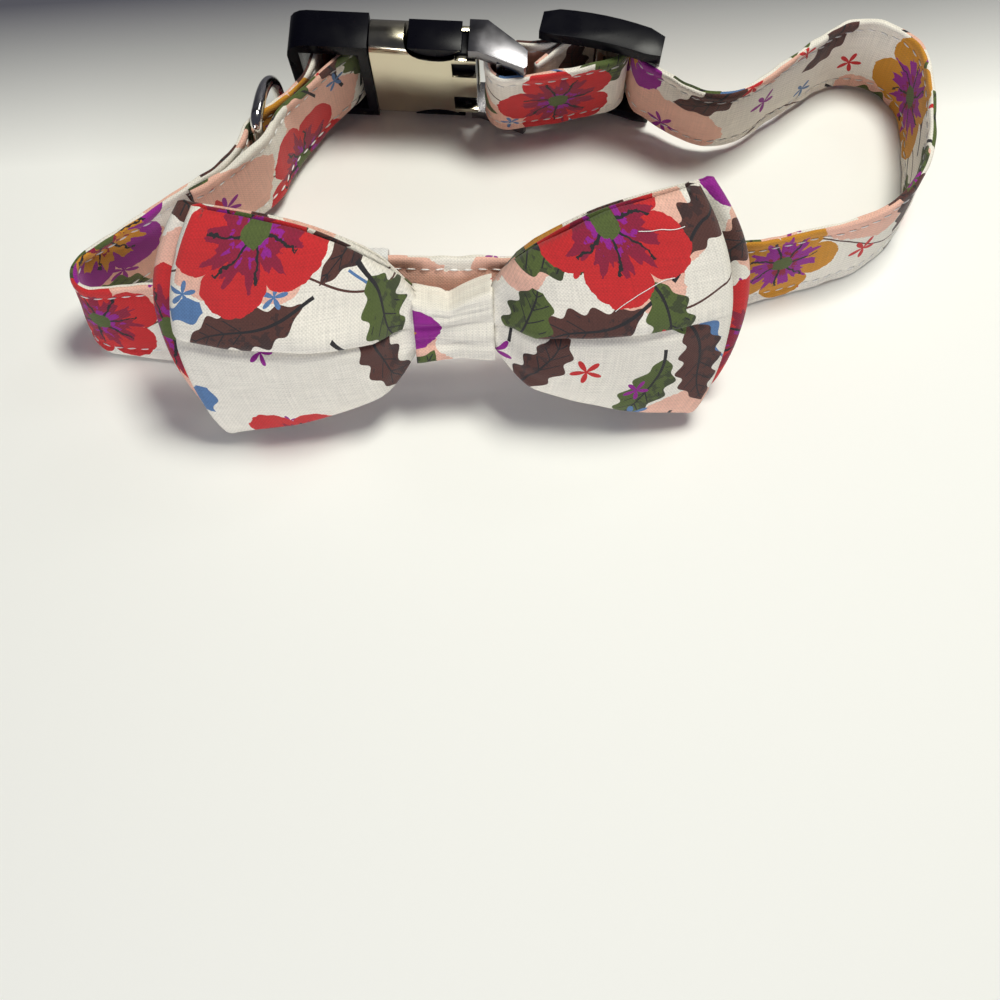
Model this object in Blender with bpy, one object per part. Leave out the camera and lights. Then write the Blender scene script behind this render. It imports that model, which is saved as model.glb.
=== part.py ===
"""Pet bow tie collar: a printed cotton strap that stands on its edge as one closed, adjustable loop,
with a side release buckle, a slider, a D-ring and a two-layer bow tie held on the front.

The plan frame has X across the collar, -Y to the front where the bow is, and +Z up.
"""
import math

import bmesh
import bpy
from mathutils import Matrix, Vector

MM = 0.001

# Strap
STRAP_WIDTH = 20.0 * MM
STRAP_THICK = 1.5 * MM
STRAP_PLAY = 0.4 * MM
PLY_GAP = 0.35 * MM
SEAM_GAP = 0.3 * MM

# The collar's plan, measured along the middle of the strap
LOOP_WIDTH = 171.0 * MM
LOOP_DEPTH = 66.5 * MM
LEFT_TURN_RADIUS = 5.5 * MM
FRONT_BEND_RADIUS = 30.0 * MM
RIGHT_SIDE_RADIUS = 27.0 * MM
RIGHT_TURN_RADIUS = 11.5 * MM
FRONT_BEND_SHARE = 0.033
RIGHT_SIDE_SHARE_X = 0.336
RIGHT_SIDE_SHARE_Y = 0.131
BUCKLE_SHARE_X = -0.171
BUCKLE_SHARE_Y = 0.428
LEFT_TURN_LEAN = math.radians(5.0)
LEFT_FRONT_LEAN = math.radians(17.0)
LEFT_FRONT_RUN = 12.0 * MM
RIGHT_FRONT_LEAN = math.radians(4.0)
RIGHT_FRONT_RUN_SHARE = 0.40
BACK_LEAN = math.radians(10.0)
BACK_LEAN_FADE = 45.0 * MM
# Where the back's lean starts and how long it takes to grow, as shares of the run from the D-ring to
# the buckle and of the loop's depth
BACK_LEAN_FROM_RING = (0.12, 0.60)
BACK_LEAN_FROM_FRONT = (0.50, 0.15)
BACK_LEAN_PAST_SLIDER = 0.60

# Buckle
BUCKLE_HEADING = math.radians(-3.3)
BUCKLE_THICK = 8.0 * MM
BUCKLE_RAIL = 2.8 * MM
FEMALE_LENGTH = 16.8 * MM
FEMALE_END_RAIL = 2.5 * MM
FEMALE_POST = 2.2 * MM
FEMALE_BAR_SIZE = 4.0 * MM
FEMALE_BAR_SETBACK = 6.8 * MM
FEMALE_BAR_OFFSET = 0.5 * MM
FEMALE_CORNER = 4.0 * MM
FEMALE_ROUNDING = 1.0 * MM
BAR_ROUNDING = 1.4 * MM
HOUSING_LENGTH = 21.8 * MM
HOUSING_WALL = 1.2 * MM
HOUSING_CORNER = 3.0 * MM
BUTTON_LENGTH = 13.0 * MM
BUTTON_SETBACK = 1.9 * MM
BUTTON_SINK = 3.8 * MM
BUTTON_DEPTH_SHARE = 0.84
BUTTON_ROUNDING = 0.8 * MM
BUTTON_SIDES = 24
ARM_SLOT_LENGTH = 4.3 * MM
FACE_SLOT_LENGTH = 5.0 * MM
FACE_SLOT_HEIGHT = 5.0 * MM
FACE_SLOT_DEPTH = 2.0 * MM
FACE_SLOT_SHARE = 0.24
INSERT_PLAY = 0.4 * MM
INSERT_LENGTH_SHARE = 0.25
PRONG_HEIGHT = 3.4 * MM
PRONG_DEPTH_SHARE = 0.8
PRONG_START_SHARE = 0.25
TONGUE_HEIGHT = 6.4 * MM
TONGUE_DEPTH_SHARE = 0.6
TONGUE_START_SHARE = 0.2
MALE_REACH = 10.5 * MM
MALE_BEND = 3.3 * MM
MALE_INSET = 1.5 * MM
MALE_BAR_SHARE = 0.6
MALE_ARM_WIDTH = 7.2 * MM
# Each arm's plan: (share of its reach, share of its half width, share of its bend)
MALE_ARM_OUTLINE = ((0.0, -1.0, 0.0), (0.175, -1.0, 0.0), (0.95, -1.0, 1.0), (1.0, -0.8, 1.0),
                    (1.0, 0.1, 1.0), (0.91, 0.4, 1.0), (0.306, 1.0, 0.0), (0.0, 1.0, 0.0))
MALE_WEB_THICK = 1.2 * MM
MALE_BAR_SIZE = 4.0 * MM
MALE_LOOP_SLACK = 0.6 * MM
METAL_ROUNDING = 0.5 * MM

# Slider
SLIDER_HEADING = math.radians(-13.5)
SLIDER_LENGTH = 25.0 * MM
SLIDER_THICK = 6.0 * MM
SLIDER_END_TAPER = 0.75
SLIDER_ROUNDING = 0.8 * MM
SLIDER_BEND_STEPS = 8
SLIDER_POST_ROUNDING = 1.0 * MM
SLIDER_END_RAIL = 2.8 * MM
SLIDER_SAG = 1.2 * MM
SLIDER_GAP = 2.4 * MM
SLIDER_STEP_BACK = 6.1 * MM
SLIDER_BAR_DIAMETER = 2.8 * MM
SLIDER_FOLD_RADIUS = 3.45 * MM
SLIDER_FOLD_SPREAD = 2.2 * MM
SLIDER_FOLD_SHIFT = 2.0 * MM
# The S-bend after the slider, as shares of the free run from the slider's end to the right turn
S_BEND_RADIUS_SHARE = 0.307
S_BEND_REACH_SHARE = 0.2524
S_BEND_RISE_SHARE = 0.1433
S_BEND_LIFT_SHARE = 0.8
SEAM_SETBACK = 5.7 * MM

# D-ring, whose straight side lies between the two plies of the strap
RING_WIRE = 2.4 * MM
RING_DEPTH = 16.5 * MM
RING_CORNER = 2.6 * MM
RING_SETBACK = 30.4 * MM
RING_STRAP_HEADING = math.radians(60.0)
RING_REST_SWING = math.radians(24.0)
PINCH_RADIUS = 5.0 * MM
PINCH_NEAR_SHARE = 0.30
PINCH_FAR_SHARE = 0.62
TAIL_BEND_RADIUS = 15.0 * MM
TAIL_BEND_SETBACK = 7.0 * MM
TAIL_LENGTH = 5.0 * MM

# Bow
BOW_SHARE = -0.069
BOW_LEAN = math.radians(26.0)
BOW_YAW = math.radians(2.0)
BOW_ROLL = math.radians(1.0)
FRONT_BOW_WIDTH = 101.5 * MM
FRONT_BOW_HEIGHT = 49.0 * MM
BACK_BOW_WIDTH = 110.8 * MM
BACK_BOW_HEIGHT = 45.5 * MM
WING_RAISE = 2.8 * MM
CLOTH_WALL = 1.1 * MM
NECK_HOLLOW = 0.5 * MM
KNOT_STANDOFF = 0.5 * MM
FOLD_RADIUS = 1.3 * MM
FRONT_PUFF = 5.2 * MM
BACK_PUFF = 1.9 * MM
FRONT_LAYER_LIFT = 2.3 * MM
PLEAT_DEPTH = 1.5 * MM
PLEAT_UPPER_REACH = 0.35
PLEAT_LOWER_REACH = 0.15
PLEAT_LOWER_SHARE = 0.5
EDGE_CALM = 0.88
EDGE_CALM_POWER = 1.5
KNOT_WIDTH = 14.8 * MM
KNOT_WALL = 1.0 * MM
KNOT_CORNER = 2.5 * MM
KNOT_SIDE_PLAY = 0.6 * MM
KEEPER_WIDTH = 5.0 * MM
KEEPER_WALL = 0.8 * MM
KEEPER_CORNER = 0.5 * MM
KEEPER_SETBACK = 14.5 * MM
BOW_HOLD = 18.0 * MM

# Shares of the half width and of the half height along one wing, from the knot to the outer edge
WING_HEIGHT = ((0.00, 0.295), (0.18, 0.295), (0.215, 0.41), (0.30, 0.57), (0.40, 0.68), (0.58, 0.83),
               (0.76, 0.915), (1.00, 1.00))
WING_PUFF = ((0.00, 0.00), (0.18, 0.00), (0.30, 0.55), (0.55, 1.00), (0.80, 0.85), (1.00, 0.35))
WING_LIFT = ((0.00, 0.00), (0.18, 0.00), (0.32, 1.00), (1.00, 1.00))
PLEAT_FADE = ((0.00, 0.00), (0.18, 0.00), (0.24, 1.00), (0.55, 0.80), (0.92, 0.00), (1.00, 0.00))
# Shares of the half height at which each wing has a row of points, close together at the pleat
WING_ROWS = (-1.0, -0.8, -0.55, -0.3, -0.12, -0.03, 0.03, 0.12, 0.3, 0.55, 0.8, 1.0)
# Shares of the half width at which each row has its points, from the knot outwards
WING_STOPS = (0.0, 0.18, 0.215, 0.26, 0.32, 0.39, 0.49, 0.60, 0.72, 0.85)
EDGE_TOP_DRAW = 0.15
EDGE_BOTTOM_DRAW = 0.10

# Fineness of the mesh
ARC_STEP = math.radians(22.5)
LINE_STEP = 6.0 * MM
RING_SIDES = 8
FOLD_STEPS = 4

# Sizes that follow from those above
HARDWARE_LIFT = BUCKLE_RAIL + STRAP_PLAY
BUCKLE_HEIGHT = STRAP_WIDTH + 2 * HARDWARE_LIFT
HARDWARE_MIDDLE = BUCKLE_HEIGHT / 2
PLY_PITCH = STRAP_THICK + PLY_GAP
STRAP_CLEAR = STRAP_PLAY + STRAP_THICK / 2
BACK_RAISE = (MALE_BEND + MALE_ARM_WIDTH / 2) * math.sin(BACK_LEAN)


def colour(red, green, blue, roughness, metallic=0.0):
    """One set of surface values."""
    return {"Base Color": (red, green, blue, 1.0), "Roughness": roughness, "Metallic": metallic}


SURFACES = {
    "strap": colour(0.86, 0.80, 0.74, 0.9),
    "buckle_female_end": colour(0.012, 0.012, 0.018, 0.35),
    "buckle_housing": colour(0.80, 0.79, 0.78, 0.12, 1.0),
    "buckle_prongs": colour(0.015, 0.015, 0.02, 0.4),
    "buckle_male_frame": colour(0.78, 0.77, 0.78, 0.12, 1.0),
    "buckle_bar": colour(0.012, 0.012, 0.016, 0.4),
    "slider_frame": colour(0.012, 0.014, 0.025, 0.35),
    "slider_bar": colour(0.62, 0.62, 0.65, 0.25, 1.0),
    "d_ring": colour(0.76, 0.75, 0.76, 0.15, 1.0),
    "bow_front": colour(0.87, 0.80, 0.74, 0.9),
    "bow_back": colour(0.80, 0.58, 0.50, 0.9),
    "bow_knot": colour(0.88, 0.84, 0.79, 0.9),
    "bow_keeper_left": colour(0.85, 0.84, 0.82, 0.85),
    "bow_keeper_right": colour(0.85, 0.84, 0.82, 0.85),
}


# Helpers

def smooth(share):
    """Eases a share from 0 to 1."""
    share = min(max(share, 0.0), 1.0)
    return share * share * (3 - 2 * share)


def read_table(table, at):
    """Reads a table of (place, value) rows, eased between its rows."""
    for (low, before), (high, after) in zip(table, table[1:]):
        if at <= high:
            return before + (after - before) * smooth((at - low) / (high - low))
    return table[-1][1]


def heading_vector(angle):
    return Vector((math.cos(angle), math.sin(angle)))


def left_of(direction):
    return Vector((-direction.y, direction.x))


def finish(name, bm, parent=None, smooth_angle=35.0):
    """Turns a bmesh into an object with its own material."""
    bmesh.ops.recalc_face_normals(bm, faces=bm.faces)
    mesh = bpy.data.meshes.new(name)
    bm.to_mesh(mesh)
    bm.free()
    obj = bpy.data.objects.new(name, mesh)
    bpy.context.scene.collection.objects.link(obj)
    obj.parent = parent
    mesh.shade_smooth()
    mesh.set_sharp_from_angle(angle=math.radians(smooth_angle))
    if name in SURFACES:
        material = bpy.data.materials.new(name)
        material.use_nodes = True
        shader = material.node_tree.nodes["Principled BSDF"]
        for socket, value in SURFACES[name].items():
            shader.inputs[socket].default_value = value
        mesh.materials.append(material)
    return obj


def pose(name, parent, location=(0, 0, 0), turn=0.0):
    """An empty that carries a group of pieces."""
    empty = bpy.data.objects.new(name, None)
    bpy.context.scene.collection.objects.link(empty)
    empty.parent = parent
    empty.location = location
    empty.rotation_euler = (0, 0, turn)
    return empty


def loft(bm, rings, closed=False):
    """Skins rings of points one after another, with flat ends unless the row of rings is closed."""
    rows = [[bm.verts.new(point) for point in ring] for ring in rings]
    pairs = list(zip(rows, rows[1:]))
    if closed:
        pairs.append((rows[-1], rows[0]))
    for row, after in pairs:
        for i in range(len(row)):
            j = (i + 1) % len(row)
            bm.faces.new((row[i], row[j], after[j], after[i]))
    if not closed:
        bm.faces.new(rows[0])
        bm.faces.new(rows[-1])


def sleeve(bm, outer_rings, inner_rings):
    """A tube with open ends, from matching rings of its outside and its inside."""
    outer = [[bm.verts.new(point) for point in ring] for ring in outer_rings]
    inner = [[bm.verts.new(point) for point in ring] for ring in inner_rings]
    count = len(outer[0])
    for skin in (outer, inner):
        for row, after in zip(skin, skin[1:]):
            for i in range(count):
                j = (i + 1) % count
                bm.faces.new((row[i], row[j], after[j], after[i]))
    for end in (0, -1):
        for i in range(count):
            j = (i + 1) % count
            bm.faces.new((outer[end][i], outer[end][j], inner[end][j], inner[end][i]))


def rounded_rectangle(width, height, radius, steps=4):
    """The outline of a rectangle with round corners, about its middle."""
    points = []
    for corner, (sx, sy) in enumerate(((1, 1), (-1, 1), (-1, -1), (1, -1))):
        middle = Vector((sx * (width / 2 - radius), sy * (height / 2 - radius)))
        for step in range(steps + 1):
            angle = (corner + step / steps) * math.pi / 2
            points.append(middle + radius * heading_vector(angle))
    return points


def prism(bm, outline, low, high, place):
    """Extrudes an outline from low to high. place(a, b, level) gives each point."""
    loft(bm, [[place(p[0], p[1], level) for p in outline] for level in (low, high)])


def box(bm, low, high):
    """A plain box between two corners."""
    outline = ((low[0], low[1]), (high[0], low[1]), (high[0], high[1]), (low[0], high[1]))
    prism(bm, outline, low[2], high[2], lambda a, b, level: Vector((a, b, level)))


def round_edges(bm, radius, segments=2):
    """Rounds the sharp edges of a closed shape."""
    sharp = [edge for edge in bm.edges if edge.calc_face_angle(0.0) > math.radians(35.0)]
    bmesh.ops.bevel(bm, geom=sharp, offset=radius, segments=segments, affect="EDGES",
                    clamp_overlap=True)


def combine(base, tools, operation):
    """Joins or cuts an object with others, which stay as hidden guides."""
    for tool in tools:
        tool.hide_render = True
        tool.display_type = "WIRE"
        modifier = base.modifiers.new(tool.name, "BOOLEAN")
        modifier.operation = operation
        modifier.solver = "EXACT"
        modifier.object = tool


def guide(name, parent, draw):
    """A shape used only to join to or cut another piece."""
    bm = bmesh.new()
    draw(bm)
    return finish(name, bm, parent)


def box_guide(name, parent, low, high, rounding=0.0):
    def draw(bm):
        box(bm, low, high)
        if rounding:
            round_edges(bm, rounding)
    return guide(name, parent, draw)


def upright(a, b, level):
    """An outline in plan, extruded upwards."""
    return Vector((a, b, level))


def facing(a, b, level):
    """An outline on a front face, extruded from the front to the back."""
    return Vector((a, level, b))


def along(a, b, level):
    """An outline across the buckle, extruded along it."""
    return Vector((level, a, b))


# The strap's route: a path that runs straight from one round peg to the next, as a belt does

class Peg:
    """A round stretch of the route. turn is 1 where it turns left and -1 where it turns right."""

    def __init__(self, centre, radius=0.0, turn=1, profile=None):
        self.centre = Vector(centre)
        self.radius = radius
        self.turn = turn
        self.profile = profile

    def reach(self):
        return self.turn * self.radius

    def edge(self, heading):
        """The point of the path on this peg where it has the given heading."""
        return self.centre - self.reach() * left_of(heading_vector(heading))


def run_heading(before, after):
    """The heading of the straight run between two pegs."""
    gap = after.centre - before.centre
    return math.atan2(gap.y, gap.x) - math.asin((after.reach() - before.reach()) / gap.length)


def walk(pegs, closed=False):
    """Lists (point, heading, distance) along the route, and where each peg's arc starts and ends."""
    count = len(pegs)
    last_run = count if closed else count - 1
    headings = [run_heading(pegs[i], pegs[(i + 1) % count]) for i in range(last_run)]
    stations, arcs, travelled = [], [], 0.0

    def add(point, heading):
        nonlocal travelled
        if stations:
            travelled += (point - stations[-1][0]).length
        stations.append((point, heading, travelled))

    for i, peg in enumerate(pegs):
        arriving = headings[i - 1] if (i or closed) else headings[0]
        leaving = headings[i] if i < last_run else headings[-1]
        sweep = ((leaving - arriving) * peg.turn) % (2 * math.pi)
        sweep = 0.0 if sweep > 1.9 * math.pi or peg.radius == 0.0 else sweep
        steps = max(1, math.ceil(sweep / ARC_STEP)) if sweep else 0
        for step in range(steps + 1):
            heading = arriving + peg.turn * sweep * (step / steps if steps else 0.0)
            add(peg.edge(heading), heading)
            if step == 0:
                began = travelled
        arcs.append((began, travelled))
        if i < last_run:
            start = peg.edge(leaving)
            end = pegs[(i + 1) % count].edge(leaving)
            pieces = max(1, math.ceil((end - start).length / LINE_STEP))
            for piece in range(1, pieces):
                add(start.lerp(end, piece / pieces), leaving)
    return stations, arcs


class Strap:
    """The strap's route, its height above the surface and its lean towards the neck."""

    def __init__(self):
        self.buckle = Vector((BUCKLE_SHARE_X * LOOP_WIDTH, BUCKLE_SHARE_Y * LOOP_DEPTH))
        self.male_bar = Vector((HOUSING_LENGTH + MALE_BAR_SHARE * MALE_REACH, -MALE_BEND))
        slider_at = (HOUSING_LENGTH + MALE_REACH + SLIDER_GAP + SLIDER_LENGTH / 2,
                     SLIDER_STEP_BACK - MALE_BEND)
        self.slider = self.on_buckle(slider_at)
        self.female_bar = self.on_buckle((-FEMALE_BAR_SETBACK, FEMALE_BAR_OFFSET))
        towards_bar = heading_vector(RING_STRAP_HEADING)
        self.ring = self.female_bar - RING_SETBACK * towards_bar
        self.bow_rise = bow_rise()
        self.front_bend = Peg((FRONT_BEND_SHARE * LOOP_WIDTH, FRONT_BEND_RADIUS - LOOP_DEPTH / 2),
                              FRONT_BEND_RADIUS, 1)
        self.route = self.pegs()
        self.stations, self.arcs = walk(self.route)
        self.marks = self.read_marks()

    def on_buckle(self, at):
        """A plan point given in the buckle's own frame, which starts at the seam of its two ends."""
        forward = heading_vector(BUCKLE_HEADING)
        return self.buckle + at[0] * forward + at[1] * left_of(forward)

    def on_slider(self, at):
        """A plan point given in the slider's own frame, about its middle."""
        forward = heading_vector(SLIDER_HEADING)
        return self.slider + at[0] * forward + at[1] * left_of(forward)

    def doubled_pegs(self, side):
        """The pegs of one ply from the D-ring to the female bar. side is -1 for the neck side."""
        forward = heading_vector(RING_STRAP_HEADING)
        out = side * left_of(forward)
        offset = PLY_PITCH / 2 + PINCH_RADIUS
        ring = Peg(self.ring, RING_WIRE / 2 + STRAP_CLEAR, 1, (HARDWARE_LIFT, 0.0))
        pinches = [Peg(self.ring + share * RING_SETBACK * forward + offset * out, PINCH_RADIUS, -1)
                   for share in (PINCH_NEAR_SHARE, PINCH_FAR_SHARE)]
        return [ring] + pinches

    def front_pegs(self):
        """The pegs of the open loop, from the left turn to the S-bend before the slider."""
        half_width, half_depth = LOOP_WIDTH / 2, LOOP_DEPTH / 2
        left = Peg((LEFT_TURN_RADIUS - half_width, LEFT_TURN_RADIUS - half_depth),
                   LEFT_TURN_RADIUS, 1, (0.0, LEFT_TURN_LEAN))
        side = Peg((RIGHT_SIDE_SHARE_X * LOOP_WIDTH, RIGHT_SIDE_SHARE_Y * LOOP_DEPTH),
                   RIGHT_SIDE_RADIUS, 1, (0.0, 0.0))
        right = Peg((half_width - RIGHT_TURN_RADIUS, half_depth - RIGHT_TURN_RADIUS),
                    RIGHT_TURN_RADIUS, 1, (0.0, 0.0))
        free_run = (right.centre - self.on_slider((SLIDER_LENGTH / 2, 0))).length
        bend_at = (SLIDER_LENGTH / 2 + S_BEND_REACH_SHARE * free_run, S_BEND_RISE_SHARE * free_run)
        bend = Peg(self.on_slider(bend_at), S_BEND_RADIUS_SHARE * free_run, -1,
                   (S_BEND_LIFT_SHARE * HARDWARE_LIFT, 0.0))
        return [left, self.front_bend, side, right, bend]

    def slider_pegs(self):
        """The pegs from the slider round the male bar and back round the slider's own bar."""
        rail_at = (SLIDER_LENGTH - SLIDER_END_RAIL) / 2
        rail_radius = SLIDER_END_RAIL / 2 + STRAP_CLEAR
        inner = SLIDER_BAR_DIAMETER / 2 + STRAP_CLEAR
        outer = inner + PLY_PITCH
        spread = SLIDER_FOLD_SPREAD
        raised = (HARDWARE_LIFT, 0.0)
        male_radius = half_diagonal(MALE_BAR_SIZE) + STRAP_CLEAR + MALE_LOOP_SLACK
        band = [Peg(self.on_slider((rail_at, slider_bend(rail_at))), rail_radius, -1, raised),
                Peg(self.on_slider((spread, 0)), outer, 1),
                Peg(self.on_slider((-spread, 0)), outer, 1),
                Peg(self.on_slider((-rail_at, slider_bend(rail_at))), rail_radius, -1)]
        male = Peg(self.on_buckle(self.male_bar), male_radius, 1)
        fold = Peg(self.on_slider((SLIDER_FOLD_SHIFT, inner - SLIDER_FOLD_RADIUS)), SLIDER_FOLD_RADIUS, 1)
        over = Peg(self.on_slider((-spread, 0)), inner, 1)
        front_run = run_heading(male, fold)
        forward = heading_vector(front_run)
        end = male.edge(front_run) + SEAM_SETBACK * forward + (PLY_PITCH + SEAM_GAP) * left_of(forward)
        return band + [male, fold, over, Peg(end, profile=raised)]

    def pegs(self):
        """The whole route, from the short ply at the D-ring to the seam behind the front ply."""
        bar = Peg(self.female_bar, half_diagonal(FEMALE_BAR_SIZE) + STRAP_CLEAR, 1)
        neck_side = self.doubled_pegs(-1)
        outer_side = self.doubled_pegs(1)[::-1]
        open_loop = self.front_pegs()
        forward = heading_vector(RING_STRAP_HEADING)
        offset = PLY_PITCH / 2 + TAIL_BEND_RADIUS
        bend_at = self.ring - TAIL_BEND_SETBACK * forward + offset * left_of(forward)
        tail_bend = Peg(bend_at, TAIL_BEND_RADIUS, -1, (HARDWARE_LIFT, 0.0))
        onward = run_heading(tail_bend, open_loop[0])
        short_bend = Peg(bend_at, TAIL_BEND_RADIUS + PLY_PITCH, 1, (HARDWARE_LIFT, 0.0))
        start = (bend_at + short_bend.radius * left_of(heading_vector(onward))
                 + TAIL_LENGTH * heading_vector(onward))
        return ([Peg(start), short_bend] + neck_side + [bar] + outer_side + [tail_bend]
                + open_loop + self.slider_pegs())

    def read_marks(self):
        """Where along the route its height and lean are set, as (place, height, lean)."""
        marks = [(sum(self.arcs[i]) / 2,) + peg.profile for i, peg in enumerate(self.route) if peg.profile]
        front = self.route.index(self.front_bend)
        bow_at = self.arcs[front][0] + (BOW_SHARE - FRONT_BEND_SHARE) * LOOP_WIDTH
        self.bow_at = bow_at
        marks.append((self.arcs[front - 1][1] + LEFT_FRONT_RUN, 0.0, LEFT_FRONT_LEAN))
        marks += [(bow_at + side * BOW_HOLD, self.bow_rise, BOW_LEAN) for side in (-1, 1)]
        marks.append((bow_at + RIGHT_FRONT_RUN_SHARE * LOOP_WIDTH, 0.0, RIGHT_FRONT_LEAN))
        return sorted(marks)

    def height_and_lean(self, at):
        rises = [(mark[0], mark[1]) for mark in self.marks]
        leans = [(mark[0], mark[2]) for mark in self.marks]
        first = self.marks[0][0]
        return read_table(rises, max(at, first)), read_table(leans, max(at, first))

    def frame(self, at, point=None, heading=None):
        """The strap's middle and axes (along it, across its width, out of its neck side)."""
        if point is None:
            for before, after in zip(self.stations, self.stations[1:]):
                if after[2] >= at:
                    share = (at - before[2]) / (after[2] - before[2])
                    point = before[0].lerp(after[0], share)
                    heading = before[1] + share * (after[1] - before[1])
                    break
        rise, lean = self.height_and_lean(at)
        forward = heading_vector(heading).to_3d()
        side = left_of(heading_vector(heading)).to_3d()
        up = Vector((0, 0, 1))
        across = math.cos(lean) * up + math.sin(lean) * side
        face = math.cos(lean) * side - math.sin(lean) * up
        edge_drop = STRAP_THICK / 2 * abs(math.sin(lean))
        middle = point.to_3d() + (rise + edge_drop) * up + STRAP_WIDTH / 2 * math.cos(lean) * up
        tilt = self.back_tilt(self.back_share(point))
        turn = tilt.to_3x3()
        return tilt @ middle, turn @ forward, turn @ across, turn @ face

    def back_share(self, point):
        """How much of the back's lean towards the neck the strap takes at a plan point."""
        from_ring = (point - self.ring).dot(heading_vector(RING_STRAP_HEADING)) / RING_SETBACK
        past_slider = ((point - self.slider).dot(heading_vector(SLIDER_HEADING))
                       - BACK_LEAN_PAST_SLIDER * SLIDER_LENGTH)
        from_front = (point.y + LOOP_DEPTH / 2) / LOOP_DEPTH
        ring_start, ring_run = BACK_LEAN_FROM_RING
        front_start, front_run = BACK_LEAN_FROM_FRONT
        return (smooth((from_ring - ring_start) / ring_run) * smooth(1 - past_slider / BACK_LEAN_FADE)
                * smooth((from_front - front_start) / front_run))

    def back_tilt(self, share):
        """The back's lean about the foot of the buckle, raised so that its neck side clears the surface."""
        foot = self.buckle.to_3d()
        raised = foot + share * BACK_RAISE * Vector((0, 0, 1))
        axis = heading_vector(BUCKLE_HEADING).to_3d()
        return (Matrix.Translation(raised) @ Matrix.Rotation(share * BACK_LEAN, 4, axis)
                @ Matrix.Translation(-foot))


def half_diagonal(size):
    """The reach of a square bar with round corners, from its middle."""
    return (size / 2 - BAR_ROUNDING) * math.sqrt(2) + BAR_ROUNDING


def slider_bend(at):
    """How far the slider's curve has come towards the neck at a distance from its middle."""
    return -SLIDER_SAG * (at / (SLIDER_LENGTH / 2)) ** 2


def layer_stands():
    """How far out of the strap's middle the back of each bow layer stands, rear layer first."""
    knot_back = STRAP_THICK / 2 + KNOT_STANDOFF
    rear = max(knot_back + KNOT_WALL, STRAP_THICK / 2 + PLY_GAP + KEEPER_WALL)
    rear += SEAM_GAP + KEEPER_SETBACK * math.sin(BOW_YAW)
    neck = 2 * CLOTH_WALL + NECK_HOLLOW
    return rear, rear + neck + SEAM_GAP


def bow_rise():
    """The height of the strap's lower edge under the bow, whose lower corners stand on the surface."""
    rear_stand, front_stand = layer_stands()
    drops = []
    for width, height, stand in ((BACK_BOW_WIDTH, BACK_BOW_HEIGHT, rear_stand),
                                 (FRONT_BOW_WIDTH, FRONT_BOW_HEIGHT, front_stand + FRONT_LAYER_LIFT)):
        reach = height / 2 - WING_RAISE + (1 - EDGE_BOTTOM_DRAW) * width / 2 * math.sin(BOW_ROLL)
        drops.append(reach * math.cos(BOW_LEAN) - stand * math.sin(BOW_LEAN))
    return max(drops) - STRAP_WIDTH / 2 * math.cos(BOW_LEAN)


def build_strap(strap, parent):
    bm = bmesh.new()
    rings = []
    for point, heading, at in strap.stations:
        middle, _, across, face = strap.frame(at, point, heading)
        half, thick = across * STRAP_WIDTH / 2, face * STRAP_THICK / 2
        rings.append([middle - half - thick, middle - half + thick,
                      middle + half + thick, middle + half - thick])
    loft(bm, rings)
    finish("strap", bm, parent)


# Buckle, in its own frame: X from the female end to the male end, Y out of the neck, Z up

def build_female_end(parent):
    bm = bmesh.new()
    outline = [Vector((-SEAM_GAP / 2, 0)), Vector((-SEAM_GAP / 2, BUCKLE_HEIGHT))]
    for corner, level in ((0, BUCKLE_HEIGHT - FEMALE_CORNER), (1, FEMALE_CORNER)):
        for step in range(5):
            angle = (corner + 1 + step / 4) * math.pi / 2
            middle = Vector((FEMALE_CORNER - FEMALE_LENGTH, level))
            outline.append(middle + FEMALE_CORNER * heading_vector(angle))
    prism(bm, outline, -BUCKLE_THICK / 2, BUCKLE_THICK / 2, facing)
    round_edges(bm, FEMALE_ROUNDING)
    body = finish("buckle_female_end", bm, parent)
    through = BUCKLE_THICK
    window = box_guide("female_window", parent,
                       (FEMALE_END_RAIL - FEMALE_LENGTH, -through, BUCKLE_RAIL),
                       (-FEMALE_POST, through, BUCKLE_HEIGHT - BUCKLE_RAIL))
    combine(body, [window], "DIFFERENCE")

    def draw_bar(bm):
        outline = [p + Vector((-FEMALE_BAR_SETBACK, FEMALE_BAR_OFFSET))
                   for p in rounded_rectangle(FEMALE_BAR_SIZE, FEMALE_BAR_SIZE, BAR_ROUNDING, 3)]
        prism(bm, outline, BUCKLE_RAIL / 2, BUCKLE_HEIGHT - BUCKLE_RAIL / 2, upright)
    combine(body, [guide("female_bar", parent, draw_bar)], "UNION")


def button_outline(shrink):
    """The round cut in the shell's side, or the button in it when shrunk, as an outline from the front."""
    centre = Vector((HOUSING_LENGTH - BUTTON_SETBACK - BUTTON_LENGTH / 2, BUCKLE_HEIGHT + HOUSING_WALL))
    wide = BUTTON_LENGTH / 2 - shrink
    deep = BUTTON_SINK + HOUSING_WALL - shrink
    return [centre + Vector((wide * math.cos(a), deep * math.sin(a)))
            for a in (step * 2 * math.pi / BUTTON_SIDES for step in range(BUTTON_SIDES))]


def mirrored(outline):
    """The same outline at the buckle's other side."""
    return [Vector((p[0], BUCKLE_HEIGHT - p[1])) for p in outline]


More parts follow.
